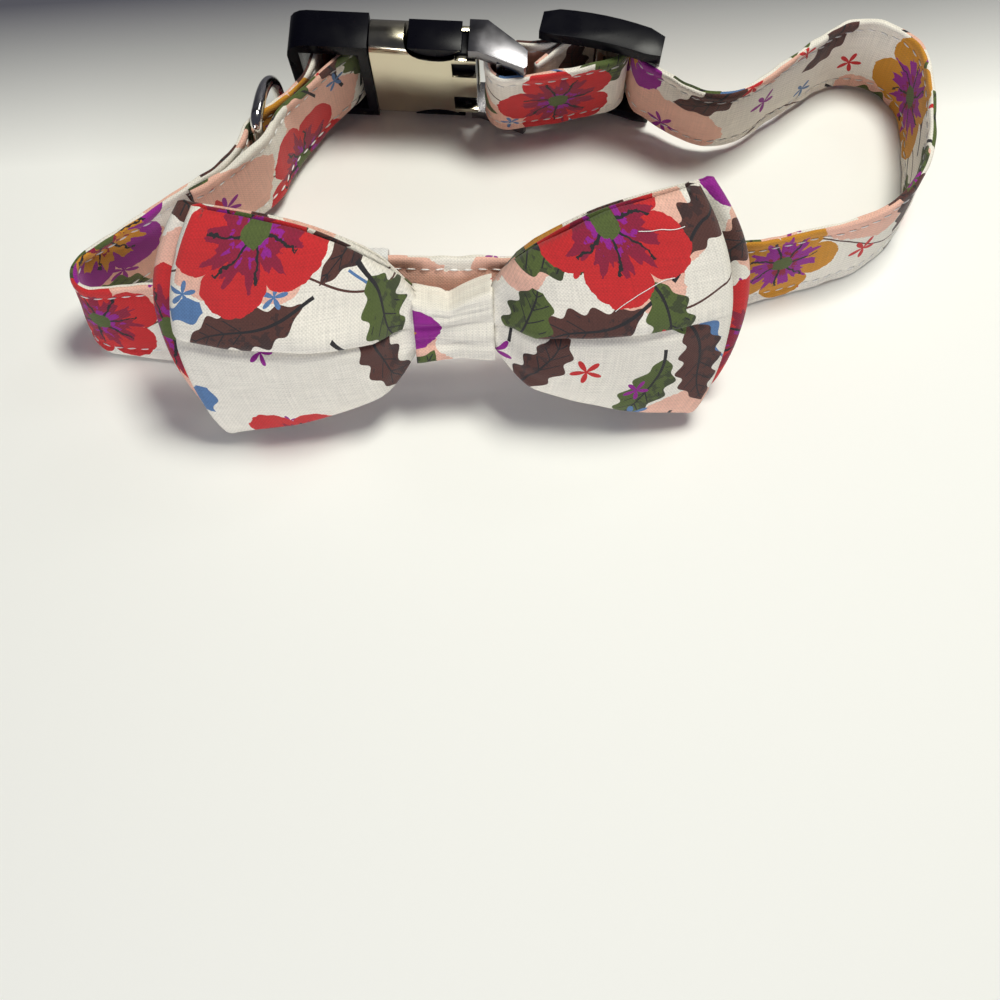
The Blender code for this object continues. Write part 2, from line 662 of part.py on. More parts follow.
def build_housing(parent):
    bm = bmesh.new()
    start, end = SEAM_GAP / 2, HOUSING_LENGTH
    middle = Vector((0, HARDWARE_MIDDLE))
    outside = [p + middle for p in rounded_rectangle(BUCKLE_THICK, BUCKLE_HEIGHT, HOUSING_CORNER)]
    prism(bm, outside, start, end, along)
    shell = finish("buckle_housing", bm, parent)
    wall = 2 * HOUSING_WALL

    def draw_hollow(bm):
        inside = [p + middle for p in rounded_rectangle(BUCKLE_THICK - wall, BUCKLE_HEIGHT - wall,
                                                        HOUSING_CORNER - HOUSING_WALL)]
        prism(bm, inside, start + HOUSING_WALL, end + BUCKLE_THICK, along)
    cutters = [guide("housing_hollow", parent, draw_hollow)]
    arm_level = BUCKLE_HEIGHT - BUCKLE_RAIL - SEAM_GAP
    for name, flip in (("top", False), ("bottom", True)):
        outline = mirrored(button_outline(0.0)) if flip else button_outline(0.0)
        cutters.append(guide("button_cut_" + name, parent, lambda bm, o=outline:
                             prism(bm, o, -BUCKLE_THICK, BUCKLE_THICK, facing)))
        low, high = arm_level, BUCKLE_HEIGHT + BUCKLE_RAIL
        if flip:
            low, high = BUCKLE_HEIGHT - high, BUCKLE_HEIGHT - low
        cutters.append(box_guide("arm_cut_" + name, parent,
                                 (end - ARM_SLOT_LENGTH, -BUCKLE_THICK, low),
                                 (end + BUCKLE_THICK, BUCKLE_THICK, high)))
        side = -1 if flip else 1
        slot_low = HARDWARE_MIDDLE + side * FACE_SLOT_SHARE * BUCKLE_HEIGHT - FACE_SLOT_HEIGHT / 2
        slot_back = FACE_SLOT_DEPTH - BUCKLE_THICK / 2
        cutters.append(box_guide("face_slot_" + name, parent,
                                 (end - FACE_SLOT_LENGTH, -BUCKLE_THICK, slot_low),
                                 (end + BUCKLE_THICK, slot_back, slot_low + FACE_SLOT_HEIGHT)))
    combine(shell, cutters, "DIFFERENCE")


def build_prongs(parent):
    half = BUCKLE_THICK / 2 - HOUSING_WALL - INSERT_PLAY
    end = HOUSING_LENGTH - SEAM_GAP
    beam = INSERT_LENGTH_SHARE * HOUSING_LENGTH
    arm_level = BUCKLE_HEIGHT - BUCKLE_RAIL - SEAM_GAP
    bm = bmesh.new()
    box(bm, (end - beam, -half, BUCKLE_HEIGHT - arm_level), (end, half, arm_level))
    round_edges(bm, METAL_ROUNDING)
    body = finish("buckle_prongs", bm, parent)
    tongue_low, tongue_half = HARDWARE_MIDDLE - TONGUE_HEIGHT / 2, TONGUE_DEPTH_SHARE * half
    parts = [box_guide("tongue", parent, (TONGUE_START_SHARE * HOUSING_LENGTH, -tongue_half, tongue_low),
                       (end - beam / 2, tongue_half, tongue_low + TONGUE_HEIGHT), METAL_ROUNDING)]
    prong_start = HOUSING_LENGTH - BUTTON_SETBACK - (0.5 + PRONG_START_SHARE) * BUTTON_LENGTH
    prong_half = PRONG_DEPTH_SHARE * half
    button_half = BUTTON_DEPTH_SHARE * BUCKLE_THICK / 2
    button_top = BUCKLE_HEIGHT - BUTTON_SINK
    for name, flip in (("top", False), ("bottom", True)):
        low, high = button_top - PRONG_HEIGHT, button_top + HOUSING_WALL
        if flip:
            low, high = BUCKLE_HEIGHT - high, BUCKLE_HEIGHT - low
        parts.append(box_guide("prong_" + name, parent, (prong_start, -prong_half, low),
                               (end - beam / 2, prong_half, high), METAL_ROUNDING))
        level = BUCKLE_HEIGHT - INSERT_PLAY
        outline = [Vector((p[0], min(p[1], level))) for p in button_outline(2 * INSERT_PLAY)]
        outline = [p for i, p in enumerate(outline)
                   if p[1] < level or outline[i - 1][1] < level
                   or outline[(i + 1) % BUTTON_SIDES][1] < level]
        outline = mirrored(outline) if flip else outline

        def draw_button(bm, outline=outline):
            prism(bm, outline, -button_half, button_half, facing)
            round_edges(bm, BUTTON_ROUNDING)
        parts.append(guide("button_" + name, parent, draw_button))
    combine(body, parts, "UNION")


def build_male_end(parent, male_bar):
    start, reach = HOUSING_LENGTH - MALE_INSET, MALE_REACH + MALE_INSET
    outline = [(start + out * reach, wide * MALE_ARM_WIDTH / 2 - bend * MALE_BEND)
               for out, wide, bend in MALE_ARM_OUTLINE]
    lower = BUCKLE_RAIL
    upper = BUCKLE_HEIGHT - BUCKLE_RAIL
    size = MALE_BAR_SIZE / 2

    def arm(low, high):
        def draw(bm):
            prism(bm, outline, low, high, upright)
            round_edges(bm, METAL_ROUNDING)
        return draw
    bm = bmesh.new()
    arm(upper, BUCKLE_HEIGHT)(bm)
    frame = finish("buckle_male_frame", bm, parent)
    web_end = male_bar.x - size + MALE_WEB_THICK
    web = box_guide("male_web", parent, (male_bar.x - size, male_bar.y - size, lower / 2),
                    (web_end, male_bar.y + size, (upper + BUCKLE_HEIGHT) / 2))
    combine(frame, [web, guide("male_lower_arm", parent, arm(0.0, lower))], "UNION")
    bm = bmesh.new()
    box(bm, (web_end + SEAM_GAP, male_bar.y - size, lower + SEAM_GAP),
        (male_bar.x + size, male_bar.y + size, upper - SEAM_GAP))
    round_edges(bm, METAL_ROUNDING)
    finish("buckle_bar", bm, parent)


# Slider, in its own frame about its middle: X along the strap, Y out of the neck, Z up

def build_slider(parent):
    half_length, half_thick = SLIDER_LENGTH / 2, SLIDER_THICK / 2
    stops = [half_length * (2 * i / SLIDER_BEND_STEPS - 1) for i in range(SLIDER_BEND_STEPS + 1)]
    halves = [half_thick * (SLIDER_END_TAPER if abs(s) == half_length else 1) for s in stops]
    outline = [(s, slider_bend(s) - half) for s, half in zip(stops, halves)]
    outline += [(s, slider_bend(s) + half) for s, half in reversed(list(zip(stops, halves)))]
    rail_at = half_length - SLIDER_END_RAIL / 2

    def rail(low, high):
        def draw(bm):
            prism(bm, outline, low, high, upright)
            round_edges(bm, SLIDER_ROUNDING)
        return draw

    def post(place):
        def draw(bm):
            shape = [p + Vector((place, slider_bend(place)))
                     for p in rounded_rectangle(SLIDER_END_RAIL, SLIDER_END_RAIL, SLIDER_POST_ROUNDING, 3)]
            prism(bm, shape, BUCKLE_RAIL / 2, BUCKLE_HEIGHT - BUCKLE_RAIL / 2, upright)
        return draw
    bm = bmesh.new()
    rail(BUCKLE_HEIGHT - BUCKLE_RAIL, BUCKLE_HEIGHT)(bm)
    frame = finish("slider_frame", bm, parent)
    parts = [guide("slider_lower_rail", parent, rail(0.0, BUCKLE_RAIL)),
             guide("slider_left_post", parent, post(-rail_at)),
             guide("slider_right_post", parent, post(rail_at))]
    combine(frame, parts, "UNION")
    bm = bmesh.new()
    radius = SLIDER_BAR_DIAMETER / 2
    circle = [radius * heading_vector(step * math.pi / 6) for step in range(12)]
    prism(bm, circle, BUCKLE_RAIL + SEAM_GAP, BUCKLE_HEIGHT - BUCKLE_RAIL - SEAM_GAP, upright)
    finish("slider_bar", bm, parent)


# D-ring, in its own frame: Z along its straight side, which is its hinge, and X into the ring

def build_ring(parent):
    reach = STRAP_WIDTH / 2 + STRAP_PLAY + RING_WIRE / 2
    corner = RING_CORNER
    pegs = [Peg((corner, corner - reach), corner), Peg((RING_DEPTH - reach, 0), reach),
            Peg((corner, reach - corner), corner)]
    stations, _ = walk(pegs, closed=True)
    rings = []
    for point, heading, _ in stations:
        out = left_of(heading_vector(heading))
        ring = []
        for side in range(RING_SIDES):
            angle = (side + 0.5) * 2 * math.pi / RING_SIDES
            spread = RING_WIRE / 2 * math.cos(angle)
            ring.append(Vector((point.x + spread * out.x, RING_WIRE / 2 * math.sin(angle),
                                point.y + spread * out.y)))
        rings.append(ring)
    bm = bmesh.new()
    loft(bm, rings, closed=True)
    ring = finish("d_ring", bm, parent)
    ring.location = (0, 0, HARDWARE_MIDDLE)


# Bow, in its own frame about the strap's middle: X across, Y up its slope, Z out of its face

def pleat(row):
    """The centre pleat's rise at a share of the half height: the upper half laps over the lower."""
    if row > 0:
        return math.exp(-row / PLEAT_UPPER_REACH)
    return -PLEAT_LOWER_SHARE * math.exp(row / PLEAT_LOWER_REACH)


def wing_loop(width, height, stand, puff, lift, row, pleated):
    """One row of a bow layer: the middle of its cloth wall as a closed loop, and each point's level."""
    draw_in = EDGE_TOP_DRAW if row > 0 else EDGE_BOTTOM_DRAW
    half = width / 2 * (1 - draw_in * row * row)
    fold = 1 - FOLD_RADIUS / half
    calm = 1 - EDGE_CALM * abs(row) ** EDGE_CALM_POWER
    middle_back = stand + CLOTH_WALL / 2
    neck_gap = CLOTH_WALL + NECK_HOLLOW

    def wall_gap(share):
        return neck_gap + (puff * calm) * read_table(WING_PUFF, share)

    def level(share):
        return row * height / 2 * read_table(WING_HEIGHT, share) + WING_RAISE * share
    points = []
    stops = WING_STOPS + (fold,)
    shares = [-stop for stop in reversed(stops[1:])] + list(stops)
    for share in shares:
        at = abs(share)
        rise = middle_back + lift * read_table(WING_LIFT, at) + wall_gap(at)
        if pleated:
            rise += PLEAT_DEPTH * pleat(row) * read_table(PLEAT_FADE, at)
        points.append((share * half, rise, level(at)))
    for side in (1, -1):
        base = middle_back + lift
        radius = wall_gap(fold) / 2
        if side == 1:
            for step in range(1, FOLD_STEPS):
                angle = math.pi / 2 - step * math.pi / FOLD_STEPS
                points.append((fold * half + FOLD_RADIUS * math.cos(angle),
                               base + radius + radius * math.sin(angle), level(1.0)))
            for share in reversed(shares):
                at = abs(share)
                points.append((share * half, middle_back + lift * read_table(WING_LIFT, at), level(at)))
        else:
            for step in range(1, FOLD_STEPS):
                angle = -math.pi / 2 - step * math.pi / FOLD_STEPS
                points.append((-fold * half + FOLD_RADIUS * math.cos(angle),
                               base + radius + radius * math.sin(angle), level(1.0)))
    return points


def offset_loop(points, distance):
    """Moves a closed loop of (x, rise, level) points sideways in its own plane."""
    moved = []
    count = len(points)
    for i, (x, rise, level) in enumerate(points):
        before, after = points[i - 1], points[(i + 1) % count]
        run = Vector((after[0] - before[0], after[1] - before[1])).normalized()
        moved.append(Vector((x - distance * run.y, level, rise + distance * run.x)))
    return moved


def build_layer(name, parent, width, height, stand, puff, lift, pleated):
    outer, inner = [], []
    for row in WING_ROWS:
        loop = wing_loop(width, height, stand, puff, lift, row, pleated)
        outer.append(offset_loop(loop, CLOTH_WALL / 2))
        inner.append(offset_loop(loop, -CLOTH_WALL / 2))
    bm = bmesh.new()
    sleeve(bm, outer, inner)
    finish(name, bm, parent)


def build_knot(parent):
    rear_stand, front_stand = layer_stands()
    back = rear_stand - SEAM_GAP - KNOT_WALL
    front = front_stand + 2 * CLOTH_WALL + NECK_HOLLOW + SEAM_GAP + KNOT_WALL
    neck_half = FRONT_BOW_HEIGHT / 2 * WING_HEIGHT[0][1] + WING_RAISE * WING_STOPS[1]
    height = 2 * (neck_half + KNOT_SIDE_PLAY + KNOT_WALL)
    middle = (back + front) / 2
    outer, inner = [], []
    for step in range(7):
        place = KNOT_WIDTH * (step / 6 - 0.5)
        for rings, wall in ((outer, 0.0), (inner, KNOT_WALL)):
            shape = rounded_rectangle(front - back - 2 * wall, height - 2 * wall, KNOT_CORNER - wall)
            rings.append([Vector((place, p.y, middle + p.x)) for p in shape])
    bm = bmesh.new()
    sleeve(bm, outer, inner)
    finish("bow_knot", bm, parent)


def build_keeper(name, strap, parent, side):
    """An elastic loop round the strap behind one wing."""
    outer, inner = [], []
    for step in (-1, 0, 1):
        at = strap.bow_at + side * KEEPER_SETBACK + step * KEEPER_WIDTH / 2
        middle, _, across, face = strap.frame(at)
        for rings, wall in ((outer, KEEPER_WALL), (inner, 0.0)):
            clear = PLY_GAP + wall
            shape = rounded_rectangle(STRAP_THICK + 2 * clear, STRAP_WIDTH + 2 * clear,
                                      KEEPER_CORNER + wall, 2)
            rings.append([middle + p.x * face + p.y * across for p in shape])
    bm = bmesh.new()
    sleeve(bm, outer, inner)
    finish(name, bm, parent)


def build_bow(strap, parent):
    middle, forward, across, face = strap.frame(strap.bow_at)
    outward = -face
    axes = Matrix((forward, across, outward)).transposed()
    bow = pose("bow_pose", parent, middle)
    roll = Matrix.Rotation(BOW_ROLL, 3, "Z")
    bow.rotation_euler = (Matrix.Rotation(BOW_YAW, 3, "Z") @ axes @ roll).to_euler()
    rear_stand, front_stand = layer_stands()
    build_layer("bow_back", bow, BACK_BOW_WIDTH, BACK_BOW_HEIGHT, rear_stand, BACK_PUFF, 0.0, False)
    build_layer("bow_front", bow, FRONT_BOW_WIDTH, FRONT_BOW_HEIGHT, front_stand, FRONT_PUFF,
                FRONT_LAYER_LIFT, True)
    build_knot(bow)
    build_keeper("bow_keeper_left", strap, parent, -1)
    build_keeper("bow_keeper_right", strap, parent, 1)


def centre_on_base(root):
    """Moves the whole collar so that the middle of its base is at the origin."""
    bpy.context.view_layer.update()
    depsgraph = bpy.context.evaluated_depsgraph_get()
    corners = []
    for obj in bpy.context.scene.objects:
        if obj.type == "MESH" and not obj.hide_render:
            solid = obj.evaluated_get(depsgraph)
            corners += [solid.matrix_world @ vertex.co for vertex in solid.data.vertices]
    low = [min(corner[i] for corner in corners) for i in range(3)]
    high = [max(corner[i] for corner in corners) for i in range(3)]
    root.location = (-(low[0] + high[0]) / 2, -(low[1] + high[1]) / 2, -low[2])
    bpy.context.view_layer.update()


def main():
    for obj in list(bpy.data.objects):
        bpy.data.objects.remove(obj)
    strap = Strap()
    root = pose("collar", None)
    build_strap(strap, root)
    back = pose("back_pose", root)
    back.matrix_local = strap.back_tilt(1.0)
    buckle = pose("buckle_pose", back, strap.buckle.to_3d(), BUCKLE_HEADING)
    build_female_end(buckle)
    build_housing(buckle)
    build_prongs(buckle)
    build_male_end(buckle, strap.male_bar)
    build_slider(pose("slider_pose", back, strap.slider.to_3d(), SLIDER_HEADING))
    build_ring(pose("ring_pose", root, strap.ring.to_3d(), RING_STRAP_HEADING + RING_REST_SWING))
    build_bow(strap, root)
    centre_on_base(root)


main()
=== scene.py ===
import math
from bisect import bisect_right

import bmesh
import bpy
from mathutils import Euler, Matrix, Vector
from mathutils.bvhtree import BVHTree
from mathutils.noise import noise


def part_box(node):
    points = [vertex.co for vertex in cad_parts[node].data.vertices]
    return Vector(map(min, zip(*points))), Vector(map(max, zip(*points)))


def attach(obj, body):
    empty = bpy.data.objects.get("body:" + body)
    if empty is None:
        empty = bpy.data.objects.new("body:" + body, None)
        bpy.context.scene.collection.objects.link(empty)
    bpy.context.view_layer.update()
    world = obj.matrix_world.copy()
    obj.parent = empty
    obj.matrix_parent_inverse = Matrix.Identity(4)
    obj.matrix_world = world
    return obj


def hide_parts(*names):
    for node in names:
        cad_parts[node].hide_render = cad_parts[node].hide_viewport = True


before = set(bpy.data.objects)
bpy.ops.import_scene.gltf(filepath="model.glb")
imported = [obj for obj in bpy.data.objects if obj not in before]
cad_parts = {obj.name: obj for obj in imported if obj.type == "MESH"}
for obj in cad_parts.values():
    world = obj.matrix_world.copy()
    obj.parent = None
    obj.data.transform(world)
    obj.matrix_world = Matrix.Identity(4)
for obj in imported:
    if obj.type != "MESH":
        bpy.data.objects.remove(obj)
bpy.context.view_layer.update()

MM = 0.001

# Where the bow and the D-ring stand, in metres and degrees
BOW_PLACE = (-0.011372, -0.022823, 0.017702)
BOW_TURN = (63.9966, -0.8988, 2.4384)
RING_PLACE = (-0.050774, 0.013453, 0.0132)
RING_TURN = 84.0

# How near two corners of a CAD mesh are when they are one, and two sizes when they are equal
WELD = 1e-6
SAME_SIZE = 5e-6

# Strap, in mm
STRAP_HALF_WIDTH = 10.0
STRAP_THICK = 1.5
STRAP_END_REACH = 8.0
STRAP_STEP = 0.65
# Half of the strap's section on one face: (from the middle line, out of the middle plane)
STRAP_SECTION = ((0.0, 0.66), (2.4, 0.67), (4.6, 0.66), (6.0, 0.62), (6.8, 0.54), (7.3, 0.44),
                 (7.7, 0.44), (8.1, 0.58), (8.7, 0.73), (9.2, 0.75), (9.6, 0.66), (9.9, 0.46),
                 (9.95, 0.22), (9.78, 0.02))
STRAP_SOFTNESS = 0.16
SHORT_RIPPLE = 0.16
LONG_RIPPLE = 0.12
# Where the outer face is cut from the cloth, past the neck face
OUTER_FACE_CUT = (241.0, 83.0)
SEAM_LINE = 7.5
SEAM_PUCKER = 0.11
SEAM_PUCKER_WIDTH = 0.8
STITCH_PITCH = 2.7
STITCH_LENGTH = 1.9
STITCH_RADIUS = 0.17
STITCH_SLANT = 5.0
HEM_STITCH_LEVEL = 0.50
FLAT_STITCH_LEVEL = 0.70
# Stitched crosses: which face, where each starts and ends along the strap, and half its width
CROSSES = ((1, 24.5, 45.5, 6.0), (-1, 76.0, 97.0, 6.0))
END_SEAM_INSET = 1.6
END_SEAM_HALF = 8.5

# Loose threads on the front layer, in mm in the bow's own frame: name, start, end, sag
LOOSE_THREADS = (("loose_thread_upper", (33.0, 20.6), (41.0, 21.4), 0.4),
                 ("loose_thread_lower", (29.0, 7.0), (39.5, 12.5), -1.3))
LOOSE_RADIUS = 0.08
LOOSE_STEPS = 24
LOOSE_SIDES = 6
LOOSE_WANDER = 0.3
ABOVE_THE_BOW = 30.0

# Bow, with its layers' sizes in mm. A layer's cut is where its print starts on the cloth.
FRONT_LAYER = {"width": 101.5, "height": 49.0, "stand": 6.056, "puff": 5.2, "lift": 2.3,
               "cut": (147.0, 212.0)}
BACK_LAYER = {"width": 110.8, "height": 45.5, "stand": 3.056, "puff": 1.9, "lift": 0.0, "cut": (9.0, 130.0)}
NECK_DEPTH = 2.7
WING_RAISE = 2.8
EDGE_TOP_DRAW = 0.15
EDGE_BOTTOM_DRAW = 0.10
EDGE_CALM = 0.88
EDGE_CALM_POWER = 1.5
LEAST_GAP = 0.86
FOLD_REACH = 1.85
# Columns of cloth round a layer: the front's from left to right, a fold's, the back's and a fold's
HALF_COLUMNS = 44
FOLD_STEPS = 8
RIGHT_FOLD_COLUMN = 2 * HALF_COLUMNS + FOLD_STEPS // 2
LEFT_FOLD_COLUMN = 3 * HALF_COLUMNS + FOLD_STEPS + FOLD_STEPS // 2
PLEAT_DEPTH = 1.5
PLEAT_LAP = 5.5
CLOTH_THICK = 0.4
CLOSING_POWER = 8
COLUMN_CROWDING = 0.85
BROAD_SWELL = (0.45, 15.0, 9.0)
FINE_SWELL = (0.2, 6.0, 5.0)
GATHER_HEIGHT = 0.38
GATHER_PLACE = 0.26
GATHER_SPREAD = 0.10
KNOT_HALF_WIDTH = 7.4
KNOT_BACK = 1.756
KNOT_FRONT = 10.056
KNOT_HALF_HEIGHT = 9.33
# Closed bands of cloth: the points' spacing in mm, and how a rim thins out as a share of the wall
OUTLINE_STEP = 0.5
BAND_HEM = 0.35
BAND_HEM_POWER = 8
KNOT_CORNER = 2.5
KNOT_WALL = 0.7
KNOT_COLUMNS = 22
KNOT_SEAM = 16.0
KNOT_CUT = (216.0, 114.0)
KNOT_PINCH = 0.55
# How high the knot's top and how low its bottom is across its width, in mm
KNOT_TOP_LOW = (-0.14, 4.8)
KNOT_TOP = ((-1.0, 6.7), (-0.5, 5.6), (-0.3, 5.4), KNOT_TOP_LOW, (0.3, 6.1), (1.0, 7.9))
KNOT_BOTTOM = ((-1.0, 8.4), (-0.2, 8.0), (0.15, 7.6), (1.0, 8.4))
# Shares of the half width and of the half height along one wing, from the knot to the outer edge
WING_HEIGHT = ((0.0, 0.14), (0.08, 0.14), (0.13, 0.15), (0.15, 0.18), (0.18, 0.30), (0.215, 0.41),
               (0.30, 0.57), (0.40, 0.68), (0.58, 0.83), (0.76, 0.915), (1.0, 1.0))
WING_PUFF = ((0.0, 0.0), (0.18, 0.0), (0.30, 0.55), (0.55, 1.0), (0.80, 0.85), (1.0, 0.35))
WING_LIFT = ((0.0, 0.0), (0.18, 0.0), (0.32, 1.0), (1.0, 1.0))
LEFT_PLEAT = ((0.0, 0.0), (0.15, 0.0), (0.21, 0.8), (0.26, 1.0), (0.7, 0.9), (1.0, 0.7))
RIGHT_PLEAT = ((0.0, 0.0), (0.15, 0.0), (0.21, 0.8), (0.26, 1.0), (0.6, 0.75), (0.95, 0.05), (1.0, 0.0))
# Rows of cloth up a layer: (share of the half height, shift up in mm, rise as a share of the pleat)
PLEAT_ROWS = ((-0.20, 0.0, 0.10), (-0.14, 0.0, 0.16), (-0.10, 0.0, 0.04), (-0.075, 0.05, -0.26),
              (-0.055, 0.3, -0.70), (-0.04, 0.9, -1.0), (-0.025, 1.8, -1.12), (-0.012, 2.5, -0.92),
              (0.0, 2.45, -0.5), (0.01, 1.5, -0.26), (0.02, 0.3, -0.16), (0.03, -0.35, 0.0),
              (0.042, -0.5, 0.28), (0.06, -0.3, 0.50), (0.09, 0.0, 0.62), (0.14, 0.0, 0.62),
              (0.20, 0.0, 0.52))
FADE_ABOVE = 0.22
FADE_BELOW = 0.12
PLAIN_ROWS = (0.28, 0.36, 0.45, 0.54, 0.63, 0.72, 0.80, 0.87, 0.93, 0.97, 1.0)

# Elastic loops round the strap, in mm
KEEPER_HALF_WIDTH = 2.5
KEEPER_PLAY = 1.15
KEEPER_CORNER = 1.3
KEEPER_WALL = 0.8
KEEPER_COLUMNS = 14
KEEPER_RIB = 0.06

# D-ring, in mm
RING_WIRE_RADIUS = 1.2
RING_REACH = 11.6
RING_DEPTH = 16.5
RING_CORNER = 2.6
RING_SIDES = 20

# Hard pieces: name, CAD node, finish, how far the edges are broken in mm
HARD_PIECES = (("female_end_moulding", "buckle_female_end", "plastic", 0.25),
               ("shell_plating", "buckle_housing", "shell", 0.15),
               ("release_buttons", "buckle_prongs", "plastic", 0.12),
               ("male_end_plating", "buckle_male_frame", "satin", 0.15),
               ("male_bar_moulding", "buckle_bar", "plastic", 0.0),
               ("slider_moulding", "slider_frame", "plastic", 0.2),
               ("slider_pin", "slider_bar", "chrome", 0.1))
EDGE_SEGMENTS = 3
FLAT_ANGLE = math.radians(0.5)
EDGE_ANGLE = math.radians(40.0)
SHARP_ANGLE = math.radians(30.0)

# Studio, in metres, with the lights' powers in watts: name, place, aim, size, power, colour
LIGHTS = (("overhead softbox", (0.16, 0.12, 0.62), (0.0, 0.0, 0.0), (0.20, 0.16), 3.7, (1.0, 0.995, 0.90)),
          ("rear softbox", (0.34, 0.40, 0.50), (0.0, 0.0, 0.0), (0.16, 0.16), 0.35, (0.97, 0.97, 1.0)),
          ("front fill", (-0.15, -0.62, 0.17), (0.0, 0.0, 0.01), (0.4, 0.16), 1.9, (0.96, 0.965, 1.0)))
WORLD_COLOUR = (0.70, 0.74, 1.0, 1.0)
WORLD_STRENGTH = 0.07
SWEEP_REACH = 0.9
SWEEP_FLAT = 0.16
SWEEP_RADIUS = 0.25
SWEEP_STEPS = 10
SWEEP_DROP = 0.0002
PAPER_NEAR = (0.93, 0.93, 0.90)
# The far paper colour is painted shade, not the paper's own colour
PAPER_FAR_PAINTED_SHADE = (0.085, 0.085, 0.11)
# Painted shade: the paper's colour goes dark between these two distances back, standing in for the light
# falling off, along a line that slopes a little to one side
PAPER_SHADE_FADE = (0.030, 0.076)
PAPER_SHADE_SLOPE = -0.08
CAMERA_PLACE = (-0.002573, -0.147523, 0.225)
CAMERA_TILT = math.radians(22.0)
CAMERA_LENS = 45.0
CAMERA_SENSOR = 36.0
CAMERA_NEAR = 0.01

# Colours, linear
IVORY = (0.88, 0.835, 0.745)
PEACH = (0.86, 0.50, 0.39)
MUSTARD = (0.61, 0.26, 0.012)
PURPLE = (0.29, 0.004, 0.27)
CRIMSON = (0.27, 0.002, 0.035)
RED = (0.60, 0.012, 0.016)
BROWN = (0.085, 0.026, 0.020)
OLIVE = (0.080, 0.115, 0.022)
BLUE = (0.09, 0.20, 0.42)
INK = (0.012, 0.010, 0.014)
THREAD_DARK, THREAD_LIGHT = (0.80, 0.79, 0.76), (0.93, 0.92, 0.90)
# Elastic: painted shade in the grooves and painted light on the rib tops
ELASTIC_GROOVE_SHADE, ELASTIC_RIB_TOP_LIGHT = (0.70, 0.69, 0.67), (0.90, 0.89, 0.87)
ELASTIC_PITCH = (0.7, 0.9)

# Each finish by name, and its material once it is made
FINISHES = {}

# Hard finishes: title, roughness from clean to smudged, strength of the grain, shader values
HARD_FINISHES = {
    "chrome": ("polished chrome", (0.07, 0.17), 0.04,
               {"Base_Color": (0.76, 0.74, 0.70, 1.0), "Metallic": 1.0}),
    # Painted reflection: the shell's chrome is tinted cream-gold to stand in for the cream it reflects
    "shell": ("plated shell with painted cream reflection", (0.12, 0.24), 0.06, {"Base_Color": (0.62, 0.57, 0.43, 1.0), "Metallic": 1.0}),
    # Painted reflection: the satin chrome's base is darkened to grey-lilac to stand in for what it reflects;
    # its roughness is its own
    "satin": ("satin chrome with painted lilac reflection", (0.20, 0.30), 0.06, {"Base_Color": (0.20, 0.195, 0.21, 1.0), "Metallic": 1.0}),
    "plastic": ("black plastic", (0.24, 0.36), 0.22,
                {"Base_Color": (0.003, 0.003, 0.006, 1.0), "Specular_IOR_Level": 0.09})}

# Print, in mm: how large a cell of cloth holds one of each motif, how far it strays there, and its own shift
MOTIFS = {"bloom": (39.0, 0.75, 11.0), "dab": (9.0, 0.8, 3.0), "bud": (31.0, 0.8, 53.0),
          "brown leaf": (31.0, 0.7, 71.0), "green leaf": (27.0, 0.7, 37.0), "flower": (37.0, 0.62, 0.0),
          "star": (15.0, 0.85, 27.0)}
# Half a leaf's length and half its width
BROWN_LEAF = (11.5, 4.6)
GREEN_LEAF = (9.0, 4.9)
BLOOM_SIZE = 14.0
LINE_HALF = 0.22
THREAD_PITCH = 0.33


# Curves

def read_curve(table, at):
    """Reads a table of (place, value) rows on a smooth curve that never swings past its rows."""
    places, values = zip(*table)
    if at <= places[0]:
        return values[0]
    if at >= places[-1]:
        return values[-1]
    slopes = [(b - a) / (q - p) for p, q, a, b in zip(places, places[1:], values, values[1:])]

    def tangent(i):
        if i in (0, len(places) - 1) or slopes[i - 1] * slopes[i] <= 0:
            return 0.0 if 0 < i < len(places) - 1 else slopes[min(i, len(slopes) - 1)]
        return 2 * slopes[i - 1] * slopes[i] / (slopes[i - 1] + slopes[i])
    i = bisect_right(places, at) - 1
    span = places[i + 1] - places[i]
    t = (at - places[i]) / span
    return hermite(values[i], values[i + 1], tangent(i) * span, tangent(i + 1) * span, t)


def hermite(start, end, leaving, arriving, t):
    """A cubic between two values or vectors, with the tangent at each."""
    return (start * (1 + 2 * t) * (1 - t) ** 2 + leaving * t * (1 - t) ** 2
            + end * t * t * (3 - 2 * t) + arriving * t * t * (t - 1))


def wander(*at):
    """Soft even noise between about -1 and 1 at a place given by up to three numbers."""
    return 2 * noise(Vector((tuple(at) + (0.37, 0.61, 0.83))[:3]))


def distances(points):
    """How far each point of a closed line is along it, and the whole way round at the end."""
    along = [0.0]
    for before, after in zip(points, points[1:] + points[:1]):
        along.append(along[-1] + math.dist(after, before))
    return along


# Meshes

def skin(name, rows, corner_uv=None, wrap_rows=False, capped=False):
    """A grid of points, closed round each row, as a mesh object with a cloth UV map in mm."""
    count = len(rows[0])
    faces, uvs = [], []
    for i in range(len(rows) if wrap_rows else len(rows) - 1):
        for j in range(count):
            corners = ((i, j), (i, j + 1), (i + 1, j + 1), (i + 1, j))
            faces.append([(a % len(rows)) * count + b % count for a, b in corners])
            if corner_uv:
                uvs += [corner_uv(a, b, j) for a, b in corners]
    if capped:
        for i in (0, len(rows) - 1):
            faces.append([i * count + j for j in range(count)])
            if corner_uv:
                uvs += [corner_uv(i, 0, 0)] * count
    mesh = bpy.data.meshes.new(name)
    mesh.from_pydata([point for row in rows for point in row], [], faces)
    if corner_uv:
        layer = mesh.uv_layers.new(name="cloth")
        layer.data.foreach_set("uv", [value for uv in uvs for value in uv])
    smooth(mesh)
    return put(name, mesh)


def adjust(thing, **settings):
    """Sets several properties of one thing."""
    for name, value in settings.items():
        setattr(thing, name, value)
    return thing


